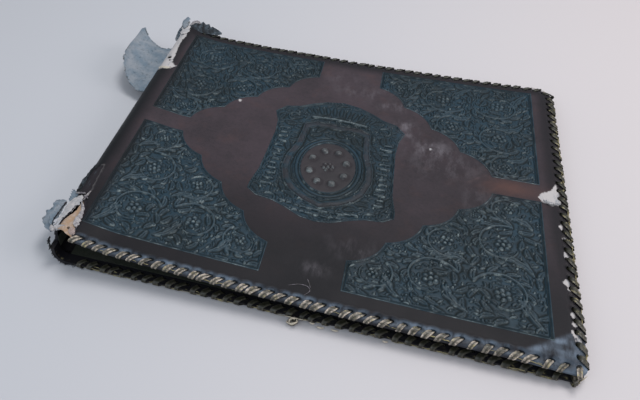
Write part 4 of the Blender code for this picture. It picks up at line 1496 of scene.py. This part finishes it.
def lace_material(name, colours, light):
    """Worn thong: pale where it is worn, with painted shade in its crease and where it enters its holes;
    light below 1 dims its pale wear and glints as painted shade.
    """
    shade = Shade(name, colours.lace, 0.5)
    fleck = shade.between(shade.noise(600.0, 3.0, 0.7), 0.42, 0.6)
    patch = shade.between(shade.noise(190.0, 3.0, 0.6), 0.36, 0.58)
    pale = shade.mask("worn") * light * (0.2 + patch * 0.8) * (0.3 + fleck * 0.7)
    colour = shade.blend(colours.lace_dark, colours.lace, pale)
    # Painted glints, dimmed by light
    glint = shade.between(shade.noise(360.0, 3.0, 0.6), 0.56, 0.62) * shade.mask("glint")
    colour = shade.blend(colour, colours.glint, glint * light)
    colour = shade.blend(colour, colours.lace_dark, shade.mask("hollow"))
    height = shade.noise(700.0, 4.0, 0.6)
    return shade.finish(colour, 0.36 + fleck * 0.2, height, 0.2 * MM, 0.7)


def publish_lacing(context, name, cover, seed, body, node, light):
    item = lacing_object(name, context.scene.album_sizes, cover, seed)
    material = lace_material(name.replace("_", " "), context.scene.album_colours, light)
    publish(item, material, body, [node], crease=70)


class ALBUM_OT_lacing(bpy.types.Operator):
    """Whip the thong round both covers' edges"""

    bl_idname = "album.lacing"
    bl_label = "Lacing"

    def execute(self, context):
        publish_lacing(context, "front_thong", FRONT, 5, "front_cover", "front_lacing", 1.0)
        # The rear thong's light of 0.3 is painted shade on its pale wear and glints
        publish_lacing(context, "rear_thong", REAR, 6, "root", "rear_lacing", 0.3)
        return {"FINISHED"}


def plain_sheet(name, cover, inset, top, thickness):
    """A closed sheet inside a cover."""
    mesh = flat_grid((RADIUS + PLY_GAP, inset), (LENGTH - inset, WIDTH - inset), LINING_CELL)
    bmesh.ops.solidify(mesh, geom=mesh.faces, thickness=FLAT_THICKNESS)
    item = as_object(name, mesh)
    flat = mesh_places(item.data)
    level = flat[:, 2]
    middle = (level.max() + level.min()) / 2
    depth = np.where(level < middle, top + thickness, top)
    move_vertices(item, cover.place(flat[:, 0], flat[:, 1], depth))
    return item


def cloth_material(name, base, pale, share=0.35):
    shade = Shade(name, base, 0.85)
    weave = shade.noise(1400.0, 2.0, 0.6)
    cloud = shade.between(shade.noise(22.0, 5.0, 0.65), 0.4, 0.75)
    patch = shade.between(shade.noise(300.0, 4.0, 0.7), 0.4, 0.64)
    colour = shade.blend(base, pale, (cloud + patch) * share + shade.between(weave, 0.55, 0.8) * 0.2)
    return shade.finish(colour, 0.85, weave + patch * 2, 0.15 * MM, 0.6)


PLY_GAP = 0.3 * MM
LINING_INSET = 7.0 * MM
LINING_CELL = 5 * MM


class ALBUM_OT_insides(bpy.types.Operator):
    """Build the boards and linings of both covers and the back"""

    bl_idname = "album.insides"
    bl_label = "Boards and linings"

    def execute(self, context):
        sizes = context.scene.album_sizes
        colours = context.scene.album_colours
        board_inset = sizes.margin + sizes.slope + 2 * PLY_GAP
        board_top = sizes.hide + PLY_GAP
        lining_top = sizes.margin_step + sizes.turn_in + PLY_GAP
        tan = cloth_material("tan board", colours.tan, colours.torn)
        moss = cloth_material("moss lining", colours.moss, colours.card)
        for cover, body, prefix in ((FRONT, "front_cover", "front"), (REAR, "root", "rear")):
            board = plain_sheet(prefix + "_stiffener", cover, board_inset, board_top, sizes.board)
            publish(board, tan, body, [prefix + "_board"])
            lining = plain_sheet(prefix + "_endpaper", cover, LINING_INSET, lining_top, sizes.lining)
            publish(lining, moss, body, [prefix + "_lining"])
        strip = frame["nodes"]["spine_lining"]
        strip.data.materials.clear()
        strip.data.materials.append(moss)
        return {"FINISHED"}


LEAF_COUNT = 22
LEAF_COLUMNS = 24
LEAF_ROWS = 6
LEAF_START = 22 * MM
CARD = 0.16 * MM


class ALBUM_OT_leaves(bpy.types.Operator):
    """Stack the leaves between the covers"""

    bl_idname = "album.leaves"
    bl_label = "Leaves"

    def execute(self, context):
        sizes = context.scene.album_sizes
        colours = context.scene.album_colours
        inner = sizes.margin_step + sizes.turn_in + sizes.lining + 2 * PLY_GAP
        gap = sizes.leaf_gap
        mesh = bmesh.new()
        for _ in range(LEAF_COUNT):
            bmesh.ops.create_grid(mesh, x_segments=LEAF_COLUMNS, y_segments=LEAF_ROWS, size=0.5)
        item = as_object("leaves", mesh)
        flat = mesh_places(item.data) + 0.5
        number = np.repeat(np.arange(LEAF_COUNT), len(flat) // LEAF_COUNT)
        slip = np.random.default_rng(9).uniform(-0.7, 0.0, (LEAF_COUNT, 2))[number].T * MM
        u = LEAF_START + flat[:, 0] * (LENGTH - gap + slip[0] - LEAF_START)
        v = gap - slip[1] + flat[:, 1] * (WIDTH - 2 * gap + 2 * slip[1])
        top = FRONT.place(u, v, inner)[:, 2]
        fan = (number + 0.5) / LEAF_COUNT + 0.012 * np.sin(number * 2.1 + v * 40)
        z = inner + (top - inner) * np.minimum(fan, 0.985)
        move_vertices(item, np.stack([u + CORNER_LOW.x, v + CORNER_LOW.y, z], axis=1))
        thick = item.modifiers.new("card", "SOLIDIFY")
        thick.thickness = CARD
        thick.offset = 0
        card = cloth_material("album card", colours.card, colours.moss)
        publish(item, card, "root", ["album_leaves"])
        return {"FINISHED"}


FLAP_RUN = np.array([
    (1.0, 11.2), (-3, 10.5), (-8, 10.1), (-15, 10.8), (-22, 13.2), (-29, 16.5), (-35, 20.0), (-38.5, 23.5),
]) * MM
FLAP_OUTLINE = millimetres([
    (0, 186), (4, 184), (10, 186.5), (17, 188.5), (24, 192), (30, 199), (36, 207), (41, 216),
    (43.5, 226), (44.5, 238), (46, 250), (46.5, 259), (44.0, 266), (40.5, 270), (37, 266), (33, 262),
    (27, 258.5), (20, 256.5), (12, 257), (6, 259.5), (0, 262),
])
FLAP_LOW = (0, 182 * MM)
FLAP_HIGH = (48 * MM, 272 * MM)
FLAP_CELL = 0.8 * MM
FLAP_THICKNESS = 0.85 * MM


class ALBUM_OT_flap(bpy.types.Operator):
    """Curl the peeled grain layer away from the head of the back"""

    bl_idname = "album.flap"
    bl_label = "Peeled flap"

    def execute(self, context):
        colours = context.scene.album_colours
        ragged = Ripple(41, 4 * MM)
        mesh = flat_grid(FLAP_LOW, FLAP_HIGH, FLAP_CELL)

        def keep(points):
            reach = smooth(points[:, 0], 2 * MM, 8 * MM)
            return polygon_distance(points, FLAP_OUTLINE) + 0.7 * MM * reach * ragged.over(points)

        trim(mesh, keep, 0.75 * MM)
        close_below(mesh, [step * 2 * MM for step in range(1, 24)])
        item = as_object("peeled_flap", mesh)
        points, lower = sheet_places(item)
        reach, v = points.T
        steps = np.concatenate([[0], np.cumsum(np.hypot(*np.diff(FLAP_RUN, axis=0).T))])
        at = np.interp(reach, steps, np.arange(len(FLAP_RUN)))
        x, z = (smooth_run(values, at) for values in FLAP_RUN.T)
        free = smooth(reach, 4 * MM, 30 * MM)
        z = z + free * (1.1 * MM * Ripple(42, 30 * MM).at(reach, v))
        z = z - free * 3.5 * MM * smooth(205 * MM - v, 0, 18 * MM)
        rim = polygon_distance(points, FLAP_OUTLINE)
        thickness = FLAP_THICKNESS * (0.35 + 0.65 * smooth(rim, 0, 2.5 * MM))
        z = np.where(lower, z - thickness, z)
        move_vertices(item, np.stack([x + CORNER_LOW.x, v + CORNER_LOW.y, z], axis=1))
        paint(item, rim=1 - smooth(rim, 0, 2.2 * MM), grain=lower.astype(float))
        publish(item, suede_material("flesh side", colours), "spine", ["spine_leather"])
        return {"FINISHED"}


def suede_material(name, colours):
    """Blue-grey flesh side, fibrous, with a dark ragged rim and a dark grain side."""
    shade = Shade(name, colours.suede, 0.9)
    fibre = shade.noise(330.0, 6.0, 0.78)
    cloud = shade.between(shade.noise(80.0, 5.0, 0.65), 0.35, 0.65)
    pale = shade.blend(colours.suede, colours.torn, cloud * 0.3)
    colour = shade.blend(pale, colours.panel, shade.between(fibre, 0.5, 0.7) * 0.55)
    rim = shade.mask("rim") * shade.between(shade.noise(380.0, 2.0, 0.5), 0.48, 0.6)
    colour = shade.blend(colour, colours.moss, rim * 0.8)
    colour = shade.blend(colour, colours.field, shade.mask("grain"))
    return shade.finish(colour, 0.9, fibre, 0.35 * MM, 0.8)


TORN_REACH = (22 * MM, 30 * MM)
TORN_CELL = 0.7 * MM


class ALBUM_OT_torn_corner(bpy.types.Operator):
    """Show the board at the torn tail corner"""

    bl_idname = "album.torn_corner"
    bl_label = "Torn corner"

    def execute(self, context):
        colours = context.scene.album_colours
        mesh = flat_grid((0, 0), TORN_REACH, TORN_CELL)
        x, y, radius = np.array(BOARD_HOLE) * MM
        ragged = Ripple(43, 4 * MM)

        def keep(points):
            away = np.hypot(points[:, 0] - x, points[:, 1] - y) - radius
            broken = 0.25 * MM * ragged.over(points)
            return np.minimum(away, polygon_distance(points, TORN_BOARD) + broken)

        trim(mesh, keep, 0.6 * MM)
        close_below(mesh, bend_stations(-4 * MM, TORN_REACH[0]))
        item = as_object("torn_board", mesh)
        points, lower = sheet_places(item)
        top = 1.1 * MM + 0.8 * MM * (1 - smooth(points[:, 1], 2 * MM, 10 * MM))
        lay(item, FRONT, points, np.where(lower, top + 0.5 * MM, top))
        tan = cloth_material("torn tan board", colours.tan, colours.torn)
        publish(item, tan, "front_cover", ["front_board"])
        return {"FINISHED"}


# A shred of leather along a line, in millimetres from the back and the tail
Rag = namedtuple("Rag", "name material line side curl thick body seed")
RAG_RINGS = 36
RAG_CELLS = 10


def build_rag(rag, materials):
    """A thin closed strip that tapers and frays towards its rim."""
    mesh = bmesh.new()
    bmesh.ops.create_grid(mesh, x_segments=RAG_RINGS, y_segments=RAG_CELLS, size=0.5)
    bmesh.ops.solidify(mesh, geom=mesh.faces, thickness=0.1)
    item = as_object(rag.name, mesh)
    flat = mesh_places(item.data)
    share = flat[:, 0] + 0.5
    across = flat[:, 1] * 2
    level = np.where(flat[:, 2] > flat[:, 2].mean(), 1.0, -1.0)
    spine = np.array(rag.line, float)
    at = share * (len(spine) - 1)
    line = smooth_path(spine, at)
    side = smooth_path(np.array(rag.side, float), share * (len(rag.side) - 1))
    tangent = smooth_path(spine, at + 0.02) - line
    normal = unit(np.cross(tangent, side))
    normal *= np.sign(normal[:, 2:] + 1e-9)
    fray = Ripple(rag.seed, 0.16, 11)
    ends = smooth(share, 0, 0.12) * smooth(1 - share, 0, 0.12)
    reach = across * (0.55 + 0.45 * ends) * (1 + 0.28 * fray.at(share * 1.3, np.sign(across)))
    rim = smooth(np.abs(across), 0.5, 1.0)
    crumple = 0.3 * fray.at(share * 2 + 5, across * 0.4)
    lift = rag.curl * reach ** 2 + crumple + level * rag.thick / 2 * (1 - 0.75 * rim)
    spot = (line + side * reach[:, None] + normal * lift[:, None]) * MM
    move_vertices(item, spot + np.array((CORNER_LOW.x, CORNER_LOW.y, 0)))
    paint(item, rim=rim * 0.6, grain=(level < 0) * 1.0)
    body, slot, node = rag.body
    return publish(item, materials[rag.material], body, [node])


ON_COVER = ("front_cover", "tooled_hide", "front_leather")
ON_BACK = ("spine", "peeled_hide", "spine_leather")
RAGS = [
    Rag("shred_long", "suede",
        [(-1.0, 9.6, 21.2), (-5.7, 13.5, 21.2), (-7.5, 17.5, 21.2), (-7.0, 23.5, 21.6), (-6.1, 28.4, 22.1),
         (-4.8, 32.4, 22.5), (-3.8, 35.3, 22.9)],
        [(1.2, 2.9, 1.8), (4.4, -0.5, 1.8), (5.9, -1.6, 1.8), (6.0, -2.0, 1.7), (5.4, -2.8, 1.6),
         (4.6, -2.7, 1.5), (3.0, -1.6, 1.1)], 0.9, 0.6, ON_BACK, 3),
    Rag("shred_ridge", "suede",
        [(-2.6, 12.0, 23.2), (-4.0, 17.0, 23.6), (-3.8, 23.0, 23.9), (-3.2, 28.5, 24.2),
         (-1.6, 33.0, 24.3)],
        [(1.0, 0.6, 0.4), (1.9, -0.4, 0.5), (2.3, -0.8, 0.5), (1.9, -0.9, 0.5), (1.0, -0.5, 0.4)],
        1.5, 0.5, ON_BACK, 4),
    Rag("shred_short", "suede",
        [(0.7, 33.8, 24.8), (1.7, 37.9, 25.5), (1.4, 41.3, 25.9), (0.0, 43.5, 25.5)],
        [(1.7, -0.2, 0.8), (3.0, -0.9, 1.0), (3.0, -1.4, 0.9), (1.8, -1.5, 0.5)], 0.6, 0.5, ON_BACK, 5),
    Rag("torn_band", "paper",
        [(-0.2, 12.0, 24.0), (1.3, 17.6, 25.1), (2.8, 21.0, 26.0), (4.2, 25.6, 26.8), (5.5, 30.4, 27.3),
         (7.2, 34.9, 27.8), (8.4, 38.1, 28.1)],
        [(0.7, 0.0, 0.5), (1.2, -0.3, 0.7), (2.4, -1.6, 0.9), (3.4, -2.1, 1.1), (4.2, -2.1, 1.2),
         (3.4, -2.4, 1.1), (1.9, -1.6, 0.9)], -0.3, 0.7, ON_COVER, 9),
    Rag("white_ball", "paper", [(-1.8, 11.3, 23.9), (-0.7, 8.9, 23.9), (0.9, 6.7, 23.7)],
        [(0.7, -0.3, 0.3), (2.4, 0.0, 0.9), (1.4, 0.0, 0.7)], -0.9, 1.6, ON_BACK, 7),
    Rag("white_lump", "paper",
        [(2.1, 8.7, 25.3), (4.6, 9.2, 26.2), (6.8, 9.6, 26.9), (9.4, 10.1, 27.6)],
        [(-0.2, 1.5, 0.5), (-0.7, 1.7, 0.5), (-0.6, 1.5, 0.4), (-0.4, 0.9, 0.3)],
        -0.8, 1.0, ON_COVER, 8),
    Rag("pink_fringe", "pink", [(14.9, 9.3, 28.3), (15.6, 6.3, 28.0), (18.1, 3.9, 27.4)],
        [(1.8, 0.2, 0.3), (2.4, 0.3, 0.4), (1.2, 0.8, 0.4)], -0.2, 0.6, ON_COVER, 10),
    Rag("torn_lip", "worn",
        [(10.9, 32.1, 29.2), (14.4, 26.4, 29.1), (15.2, 21.3, 29.0), (15.2, 16.9, 28.9),
         (16.1, 12.6, 28.8), (17.0, 10.1, 28.5)],
        [(0.9, 0.1, 0.1), (1.1, 0.2, 0.1), (1.5, 0.8, 0.1), (2.3, 0.8, 0.1), (1.7, 0.6, 0.1),
         (1.2, -0.1, 0.2)],
        -0.3, 0.6, ON_COVER, 11),
    Rag("pale_thread", "worn", [(2.5, 40.0, 27.3), (6.5, 40.1, 28.3), (10.0, 40.0, 29.1)],
        [(0.1, -0.6, 0.1), (0.1, -0.7, 0.1), (0.1, -0.5, 0.1)], 0.2, 0.5, ON_COVER, 12),
    Rag("twig", "worn", [(11.6, 33.5, 29.2), (12.2, 37.6, 29.5), (12.9, 42.5, 29.5)],
        [(0.5, -0.2, 0.0), (0.7, -0.3, 0.0), (0.4, -0.2, 0.0)], 0.2, 0.6, ON_COVER, 14),
    Rag("twig_side", "worn", [(10.4, 37.6, 29.3), (12.2, 36.5, 29.5), (13.9, 35.6, 29.4)],
        [(0.1, 0.6, 0.0), (0.1, 0.6, 0.0), (0.1, 0.5, 0.0)], 0.2, 0.5, ON_COVER, 15),
    Rag("head_cap", "paper", [(6.3, 256, 28.7), (5.6, 264, 29.3), (4.2, 271, 30.4), (3.4, 277, 31.6)],
        [(3.4, 0, 0.9), (4.0, 0, 1.0), (3.6, 0.3, 1.0), (1.8, 0.4, 0.6)], -0.6, 0.6, ON_COVER, 17),
    Rag("head_skin", "suede", [(5.2, 264, 30.2), (3.8, 270, 31.2), (3.0, 275.5, 32.2), (3.2, 279, 32.8)],
        [(2.0, 0, 0.6), (3.4, 0, 1.0), (3.0, 0.3, 1.0), (1.4, 0.4, 0.6)], -0.5, 0.5, ON_COVER, 18),
    Rag("head_curl", "suede", [(-0.6, 254, 22.5), (-1.4, 262, 22.5), (-1.2, 268.5, 24), (0.6, 274, 27)],
        [(-0.8, 0.2, 2.0), (-0.6, 0.2, 2.6), (-0.6, 0.2, 2.2), (-0.4, 0.4, 1.2)], 0.6, 0.5, ON_BACK, 19),
    Rag("head_crumb", "worn",
        [(8.5, 270, 30.2), (11.5, 271.6, 31.6), (15.5, 272, 32.2), (19.5, 270.4, 31.4)],
        [(0.1, 1.2, 0.7), (0.0, 1.8, 1.1), (0.1, 1.8, 1.1), (0.2, 1.0, 0.6)],
        0.3, 0.6, ON_COVER, 21),
    Rag("head_turnup", "dark",
        [(8.5, 266.8, 29.2), (15, 267.6, 29.8), (24, 267.7, 29.8), (31, 266.6, 28.8), (40, 265.6, 27.9)],
        [(0, 2.6, 1.8), (0, 3.7, 2.8), (0, 3.7, 2.9), (0, 3.1, 2.2), (0, 1.6, 0.8)],
        0.1, 0.6, ON_COVER, 29),
    Rag("cream_fold", "cream",
        [(3.0, 200.8, 27.0), (7.6, 199.6, 29.1), (11.6, 199.0, 29.2), (14.2, 200.6, 29.1)],
        [(0.2, 1.0, 0.2), (0.2, 1.3, 0.2), (0.1, 1.2, 0.1), (0.4, 0.5, 0)], -0.2, 0.5, ON_COVER, 23),
    Rag("fore_tear", "paper", [(304, 129.0, 14.9), (309, 127.6, 14.7), (315, 128.6, 14.2)],
        [(0.2, 0.8, 0), (0.1, 1.0, 0), (0.2, 0.8, 0)], 0.2, 0.4, ON_COVER, 25),
    Rag("back_fray", "dark", [(1.6, 41, 24.3), (0.9, 52, 24.0), (1.4, 63, 24.2), (2.6, 74, 25.2)],
        [(-0.9, 0, 1.2), (-1.2, 0.2, 1.2), (-1.0, -0.2, 1.1), (-0.4, 0.1, 0.6)], 0.5, 0.4, ON_COVER, 27),
]


class ALBUM_OT_shreds(bpy.types.Operator):
    """Curl shreds of leather out of the torn places"""

    bl_idname = "album.shreds"
    bl_label = "Shreds"

    def execute(self, context):
        colours = context.scene.album_colours
        materials = {
            "suede": bpy.data.materials["flesh side"],
            "paper": cloth_material("torn paper", colours.torn, colours.suede),
            "cream": cloth_material("cream paper", colours.cream, colours.torn),
            "dark": cloth_material("torn grain", colours.back, colours.suede),
            "pink": cloth_material("pink paper", colours.pink, colours.tan),
            "worn": cloth_material("worn paper", colours.scuff, colours.torn, 0.9),
        }
        for rag in RAGS:
            build_rag(rag, materials)
        return {"FINISHED"}


THREAD_FACETS = 5
THREAD_RINGS = 10
FIBRE = (0.25, 0.5)
FRINGE_FIBRES = 90


class Threads(Rod):
    """Thin threads gathered into one object."""

    def __init__(self):
        super().__init__(THREAD_FACETS, THREAD_RINGS)
        self.mesh = bmesh.new()
        self.places = []

    def add(self, path, thickness):
        """One thread through a few places, in metres."""
        _, line, forward = self.run(np.asarray(path, float))
        across = unit(np.cross(forward, (0.31, 0.17, 1.0)))
        outward = unit(np.cross(across, forward))
        taper = thickness / 2 * (1 - 0.6 * np.abs(np.linspace(-1, 1, THREAD_RINGS)) ** 3)
        spread = across[self.ring] * self.side[:, None] + outward[self.ring] * self.lift[:, None]
        place = line[self.ring] + taper[self.ring][:, None] * spread
        place[:, 2] = np.maximum(place[:, 2], 0.03 * MM)
        self.places.append(place)
        self.mesh.from_mesh(self.data)

    def finish(self, name, material, body, node, slot="lacing"):
        item = as_object(name, self.mesh)
        move_vertices(item, np.concatenate(self.places))
        publish(item, material, body, [node], crease=80)


def edge_fray(threads, cover, sizes, way, count, seed, reach):
    """Loose fibres that follow the lacing of one side and bow out of it here and there."""
    draw = np.random.default_rng(seed)
    stitches = [stitch for stitch in stitch_places(sizes.pitch) if faces_way(stitch[2], way)]
    for number in draw.choice(len(stitches), count):
        spot, along, outward = stitches[number]
        length = draw.uniform(4, 13) * MM
        bow = draw.uniform(-0.4, reach) * MM
        depth = draw.uniform(0.6, 3.2) * MM
        path = []
        for step, lift in enumerate((0.0, 0.7, 1.0, 0.6, -0.1)):
            forward = (step / 4 - 0.5) * length
            inset = 0.5 * MM - bow * lift + draw.normal() * 0.25 * MM
            u = spot.x + along.x * forward - outward.x * inset
            v = spot.y + along.y * forward - outward.y * inset
            path.append(cover.spot(u, v, depth + draw.normal() * 0.3 * MM))
        threads.add(path, draw.uniform(*FIBRE) * MM)


def back_fringe(threads, count, seed):
    """Dark fibres that hang out of the torn tail end of the back."""
    draw = np.random.default_rng(seed)
    for _ in range(count):
        cover = FRONT if draw.uniform() < 0.45 else REAR
        low = 1.0 * MM if cover is FRONT else 22 * MM
        u = draw.uniform(MIDDLE_OF_BACK, low)
        drift = draw.normal() * 1.2 * MM
        depth = draw.uniform(0.1, 1.1) * MM
        path = []
        for share in (0.0, 0.35, 0.7, 1.0):
            v = (1.2 - share * draw.uniform(0.8, 2.3)) * MM
            path.append(cover.spot(u + drift * share, v, depth) + draw.normal(size=3) * 0.3 * MM)
        threads.add(path, draw.uniform(*FIBRE) * MM)


# Fibres of each piece: the side they fray from, their number and seed, how far they bow out
FRAYS = (
    ("rear_fibres", REAR, "yellow", "root", "rear_lacing",
     [(TAIL_SIDE, 90, 81, 0.8), (FORE_SIDE, 26, 82, 0.6)]),
    ("front_fibres", FRONT, "yellow", "front_cover", "front_lacing",
     [(FORE_SIDE, 70, 83, 0.4), (TAIL_SIDE, 24, 84, 0.3)]),
    ("pale_fibres", FRONT, "pink", "front_cover", "front_lacing", [(HEAD_SIDE, 9, 85, 0.6)]),
)

# The loose thread on the cover, the knot and the pale bits, in millimetres from back and tail
LOOSE_STRANDS = [
    [(155.5, 11.0), (161.5, 13.6), (166.6, 13.6), (168.8, 10.6), (166.0, 6.6)],
    [(165.8, 19.0), (167.2, 16.2), (168.6, 13.2)],
]
KNOT_PLACE = (162.1, -3.4, 2.7)
KNOT_LOOPS = 12
KNOT_END = [(157, -2.6, 4.6), (163, -3.0, 5.2), (170, -2.6, 4.8)]
EDGE_BITS = [
    (173.5, -1.0, 1.6, 3.0), (178.5, -2.2, 0.9, 4.5), (187.0, -2.0, 1.2, 4.0), (216, -1.6, 1.4, 3.0),
]


def knot(dark, pale, draw):
    """A small tangle of thong hanging at the rear cover's tail edge, and pale bits near it."""
    corner = np.array((CORNER_LOW.x, CORNER_LOW.y, 0))
    middle = np.array(KNOT_PLACE)
    for number in range(KNOT_LOOPS):
        turn = draw.uniform(0, 2 * math.pi)
        angles = turn + np.linspace(0, draw.uniform(3, 6), 7)
        reach = draw.uniform(1.0, 2.7)
        loop = np.stack([1.3 * reach * np.cos(angles), 0.9 * reach * np.sin(angles) - 0.5,
                         0.8 * reach * np.sin(angles + draw.uniform(0, 3))], axis=1)
        strands = pale if number % 4 == 0 else dark
        strands.add((middle + loop) * MM + corner, draw.uniform(0.6, 1.1) * MM)
    for x, y, z, length in EDGE_BITS:
        path = [(x - length / 2, y, z), (x, y - 0.6, z + 0.3), (x + length / 2, y, z)]
        pale.add(np.array(path) * MM + corner, 1.1 * MM)
    pale.add(np.array(KNOT_END) * MM + corner, 0.45 * MM)


class ALBUM_OT_threads(bpy.types.Operator):
    """Fray fibres out of the edges, with the knot and the loose thread on the cover"""

    bl_idname = "album.threads"
    bl_label = "Threads"

    def execute(self, context):
        sizes = context.scene.album_sizes
        colours = context.scene.album_colours
        fibres = {
            "yellow": cloth_material("yellow fibre", colours.glint, colours.moss),
            "pink": cloth_material("pink fibre", colours.pink, colours.torn),
        }
        dark = cloth_material("dark thread", colours.lace_dark, colours.lace)
        for name, cover, material, body, node, sides in FRAYS:
            threads = Threads()
            for side in sides:
                edge_fray(threads, cover, sizes, *side)
            threads.finish(name, fibres[material], body, node)
        loose = Threads()
        for strand in LOOSE_STRANDS:
            flat = np.array(strand) * MM
            loose.add(FRONT.place(flat[:, 0], flat[:, 1], -0.15 * MM), 0.55 * MM)
        faded = cloth_material("faded thread", colours.lace_dark, colours.scuff, 0.9)
        loose.finish("tag", faded, "front_cover", "front_lacing")
        tangle = Threads()
        pale = Threads()
        knot(tangle, pale, np.random.default_rng(86))
        tangle.finish("knot", dark, "root", "rear_lacing")
        beige = cloth_material("beige thread", colours.cream, colours.lace)
        pale.finish("pale_bits", beige, "root", "rear_lacing")
        fringe = Threads()
        back_fringe(fringe, FRINGE_FIBRES, 87)
        black = cloth_material("black fibre", colours.back, colours.moss)
        fringe.finish("back_fringe", black, "spine", "spine_leather", "peeled_hide")
        return {"FINISHED"}


CAMERA_PLACE = Vector((0.0271, -0.3577, 0.3211))
CAMERA_AIM = Vector((-0.0821, -0.0598, 0.020))
CAMERA_ROLL = math.radians(-3.28)
CAMERA_LENS = 35.34
CAMERA_SHIFT = (0.192, -0.0194)
LAMPS = [
    ("overhead", (0.22, 0.34, 1.30), 0.62, 9.1, (1.0, 0.985, 0.97)),
    ("right", (1.5, 0.1, 0.9), 0.9, 9.0, (1.0, 0.93, 0.92)),
    ("window", (-0.45, -1.05, 0.95), 1.1, 5.0, (0.80, 0.91, 1.0)),
]
WORLD_COLOUR = (0.88, 0.93, 1.0)
WORLD_STRENGTH = 0.42
FLOOR_HALF = 2.5
FLOOR_CELL = 0.25
FLOOR_DROP = 0.05 * MM


def hang_lamps(scene):
    """Three soft lamps and the light of the room."""
    for name, place, width, power, colour in LAMPS:
        light = bpy.data.lights.new(name, "AREA")
        light.shape = "DISK"
        light.size = width
        light.energy = power
        light.color = colour
        lamp = bpy.data.objects.new(name, light)
        lamp.location = place
        lamp.rotation_euler = (-Vector(place)).to_track_quat("-Z", "Y").to_euler()
        scene.collection.objects.link(lamp)
    world = bpy.data.worlds.new("studio")
    world.use_nodes = True
    background = world.node_tree.nodes["Background"]
    background.inputs["Color"].default_value = (*WORLD_COLOUR, 1)
    background.inputs["Strength"].default_value = WORLD_STRENGTH
    scene.world = world


def aim_camera(scene):
    """The photo's camera, with its roll and shifted frame."""
    data = bpy.data.cameras.new("camera")
    data.lens = CAMERA_LENS
    data.shift_x, data.shift_y = CAMERA_SHIFT
    camera = bpy.data.objects.new("camera", data)
    camera.location = CAMERA_PLACE
    look = (CAMERA_AIM - CAMERA_PLACE).to_track_quat("-Z", "Y")
    camera.rotation_mode = "QUATERNION"
    camera.rotation_quaternion = look @ Quaternion((0, 0, 1), CAMERA_ROLL)
    scene.collection.objects.link(camera)
    scene.camera = camera


class ALBUM_OT_stage(bpy.types.Operator):
    """Lay the pale floor, hang the lamps and set up the camera"""

    bl_idname = "album.stage"
    bl_label = "Stage"

    def execute(self, context):
        colours = context.scene.album_colours
        corner = Vector((FLOOR_HALF, FLOOR_HALF))
        floor = as_object("floor", flat_grid(-corner, corner, FLOOR_CELL))
        floor.location.z = -FLOOR_DROP
        shade = Shade("pale floor", colours.floor, 0.6)
        # Painted light: the floor grows lighter and warmer towards the right
        tone = shade.between(shade.position(0), -0.25, 0.35)
        floor.data.materials.append(shade.finish(shade.blend(colours.floor, colours.floor_warm, tone), 0.6))
        hang_lamps(context.scene)
        aim_camera(context.scene)
        context.scene.view_settings.view_transform = "Standard"
        return {"FINISHED"}


class ALBUM_PT_looks(bpy.types.Panel):
    """The album's pieces, sizes and colours"""

    bl_idname = "ALBUM_PT_looks"
    bl_label = "Album"
    bl_space_type = "VIEW_3D"
    bl_region_type = "UI"
    bl_category = "Album"

    def draw(self, context):
        for operator in OPERATORS:
            self.layout.operator(operator.bl_idname)
        for group in (context.scene.album_sizes, context.scene.album_colours):
            for name in type(group).__annotations__:
                self.layout.prop(group, name)


OPERATORS = (
    ALBUM_OT_stage, ALBUM_OT_front_hide, ALBUM_OT_panels, ALBUM_OT_medallion, ALBUM_OT_rear_hide,
    ALBUM_OT_lacing, ALBUM_OT_insides, ALBUM_OT_leaves, ALBUM_OT_flap, ALBUM_OT_torn_corner,
    ALBUM_OT_shreds, ALBUM_OT_threads,
)


def register():
    for group in (AlbumSizes, AlbumColours, *OPERATORS, ALBUM_PT_looks):
        bpy.utils.register_class(group)
    bpy.types.Scene.album_sizes = bpy.props.PointerProperty(type=AlbumSizes)
    bpy.types.Scene.album_colours = bpy.props.PointerProperty(type=AlbumColours)


def unregister():
    del bpy.types.Scene.album_sizes
    del bpy.types.Scene.album_colours
    for group in reversed((AlbumSizes, AlbumColours, *OPERATORS, ALBUM_PT_looks)):
        bpy.utils.unregister_class(group)


def main():
    register()
    for operator in OPERATORS:
        getattr(bpy.ops.album, operator.bl_idname.split(".")[1])()


if __name__ == "__main__":
    main()
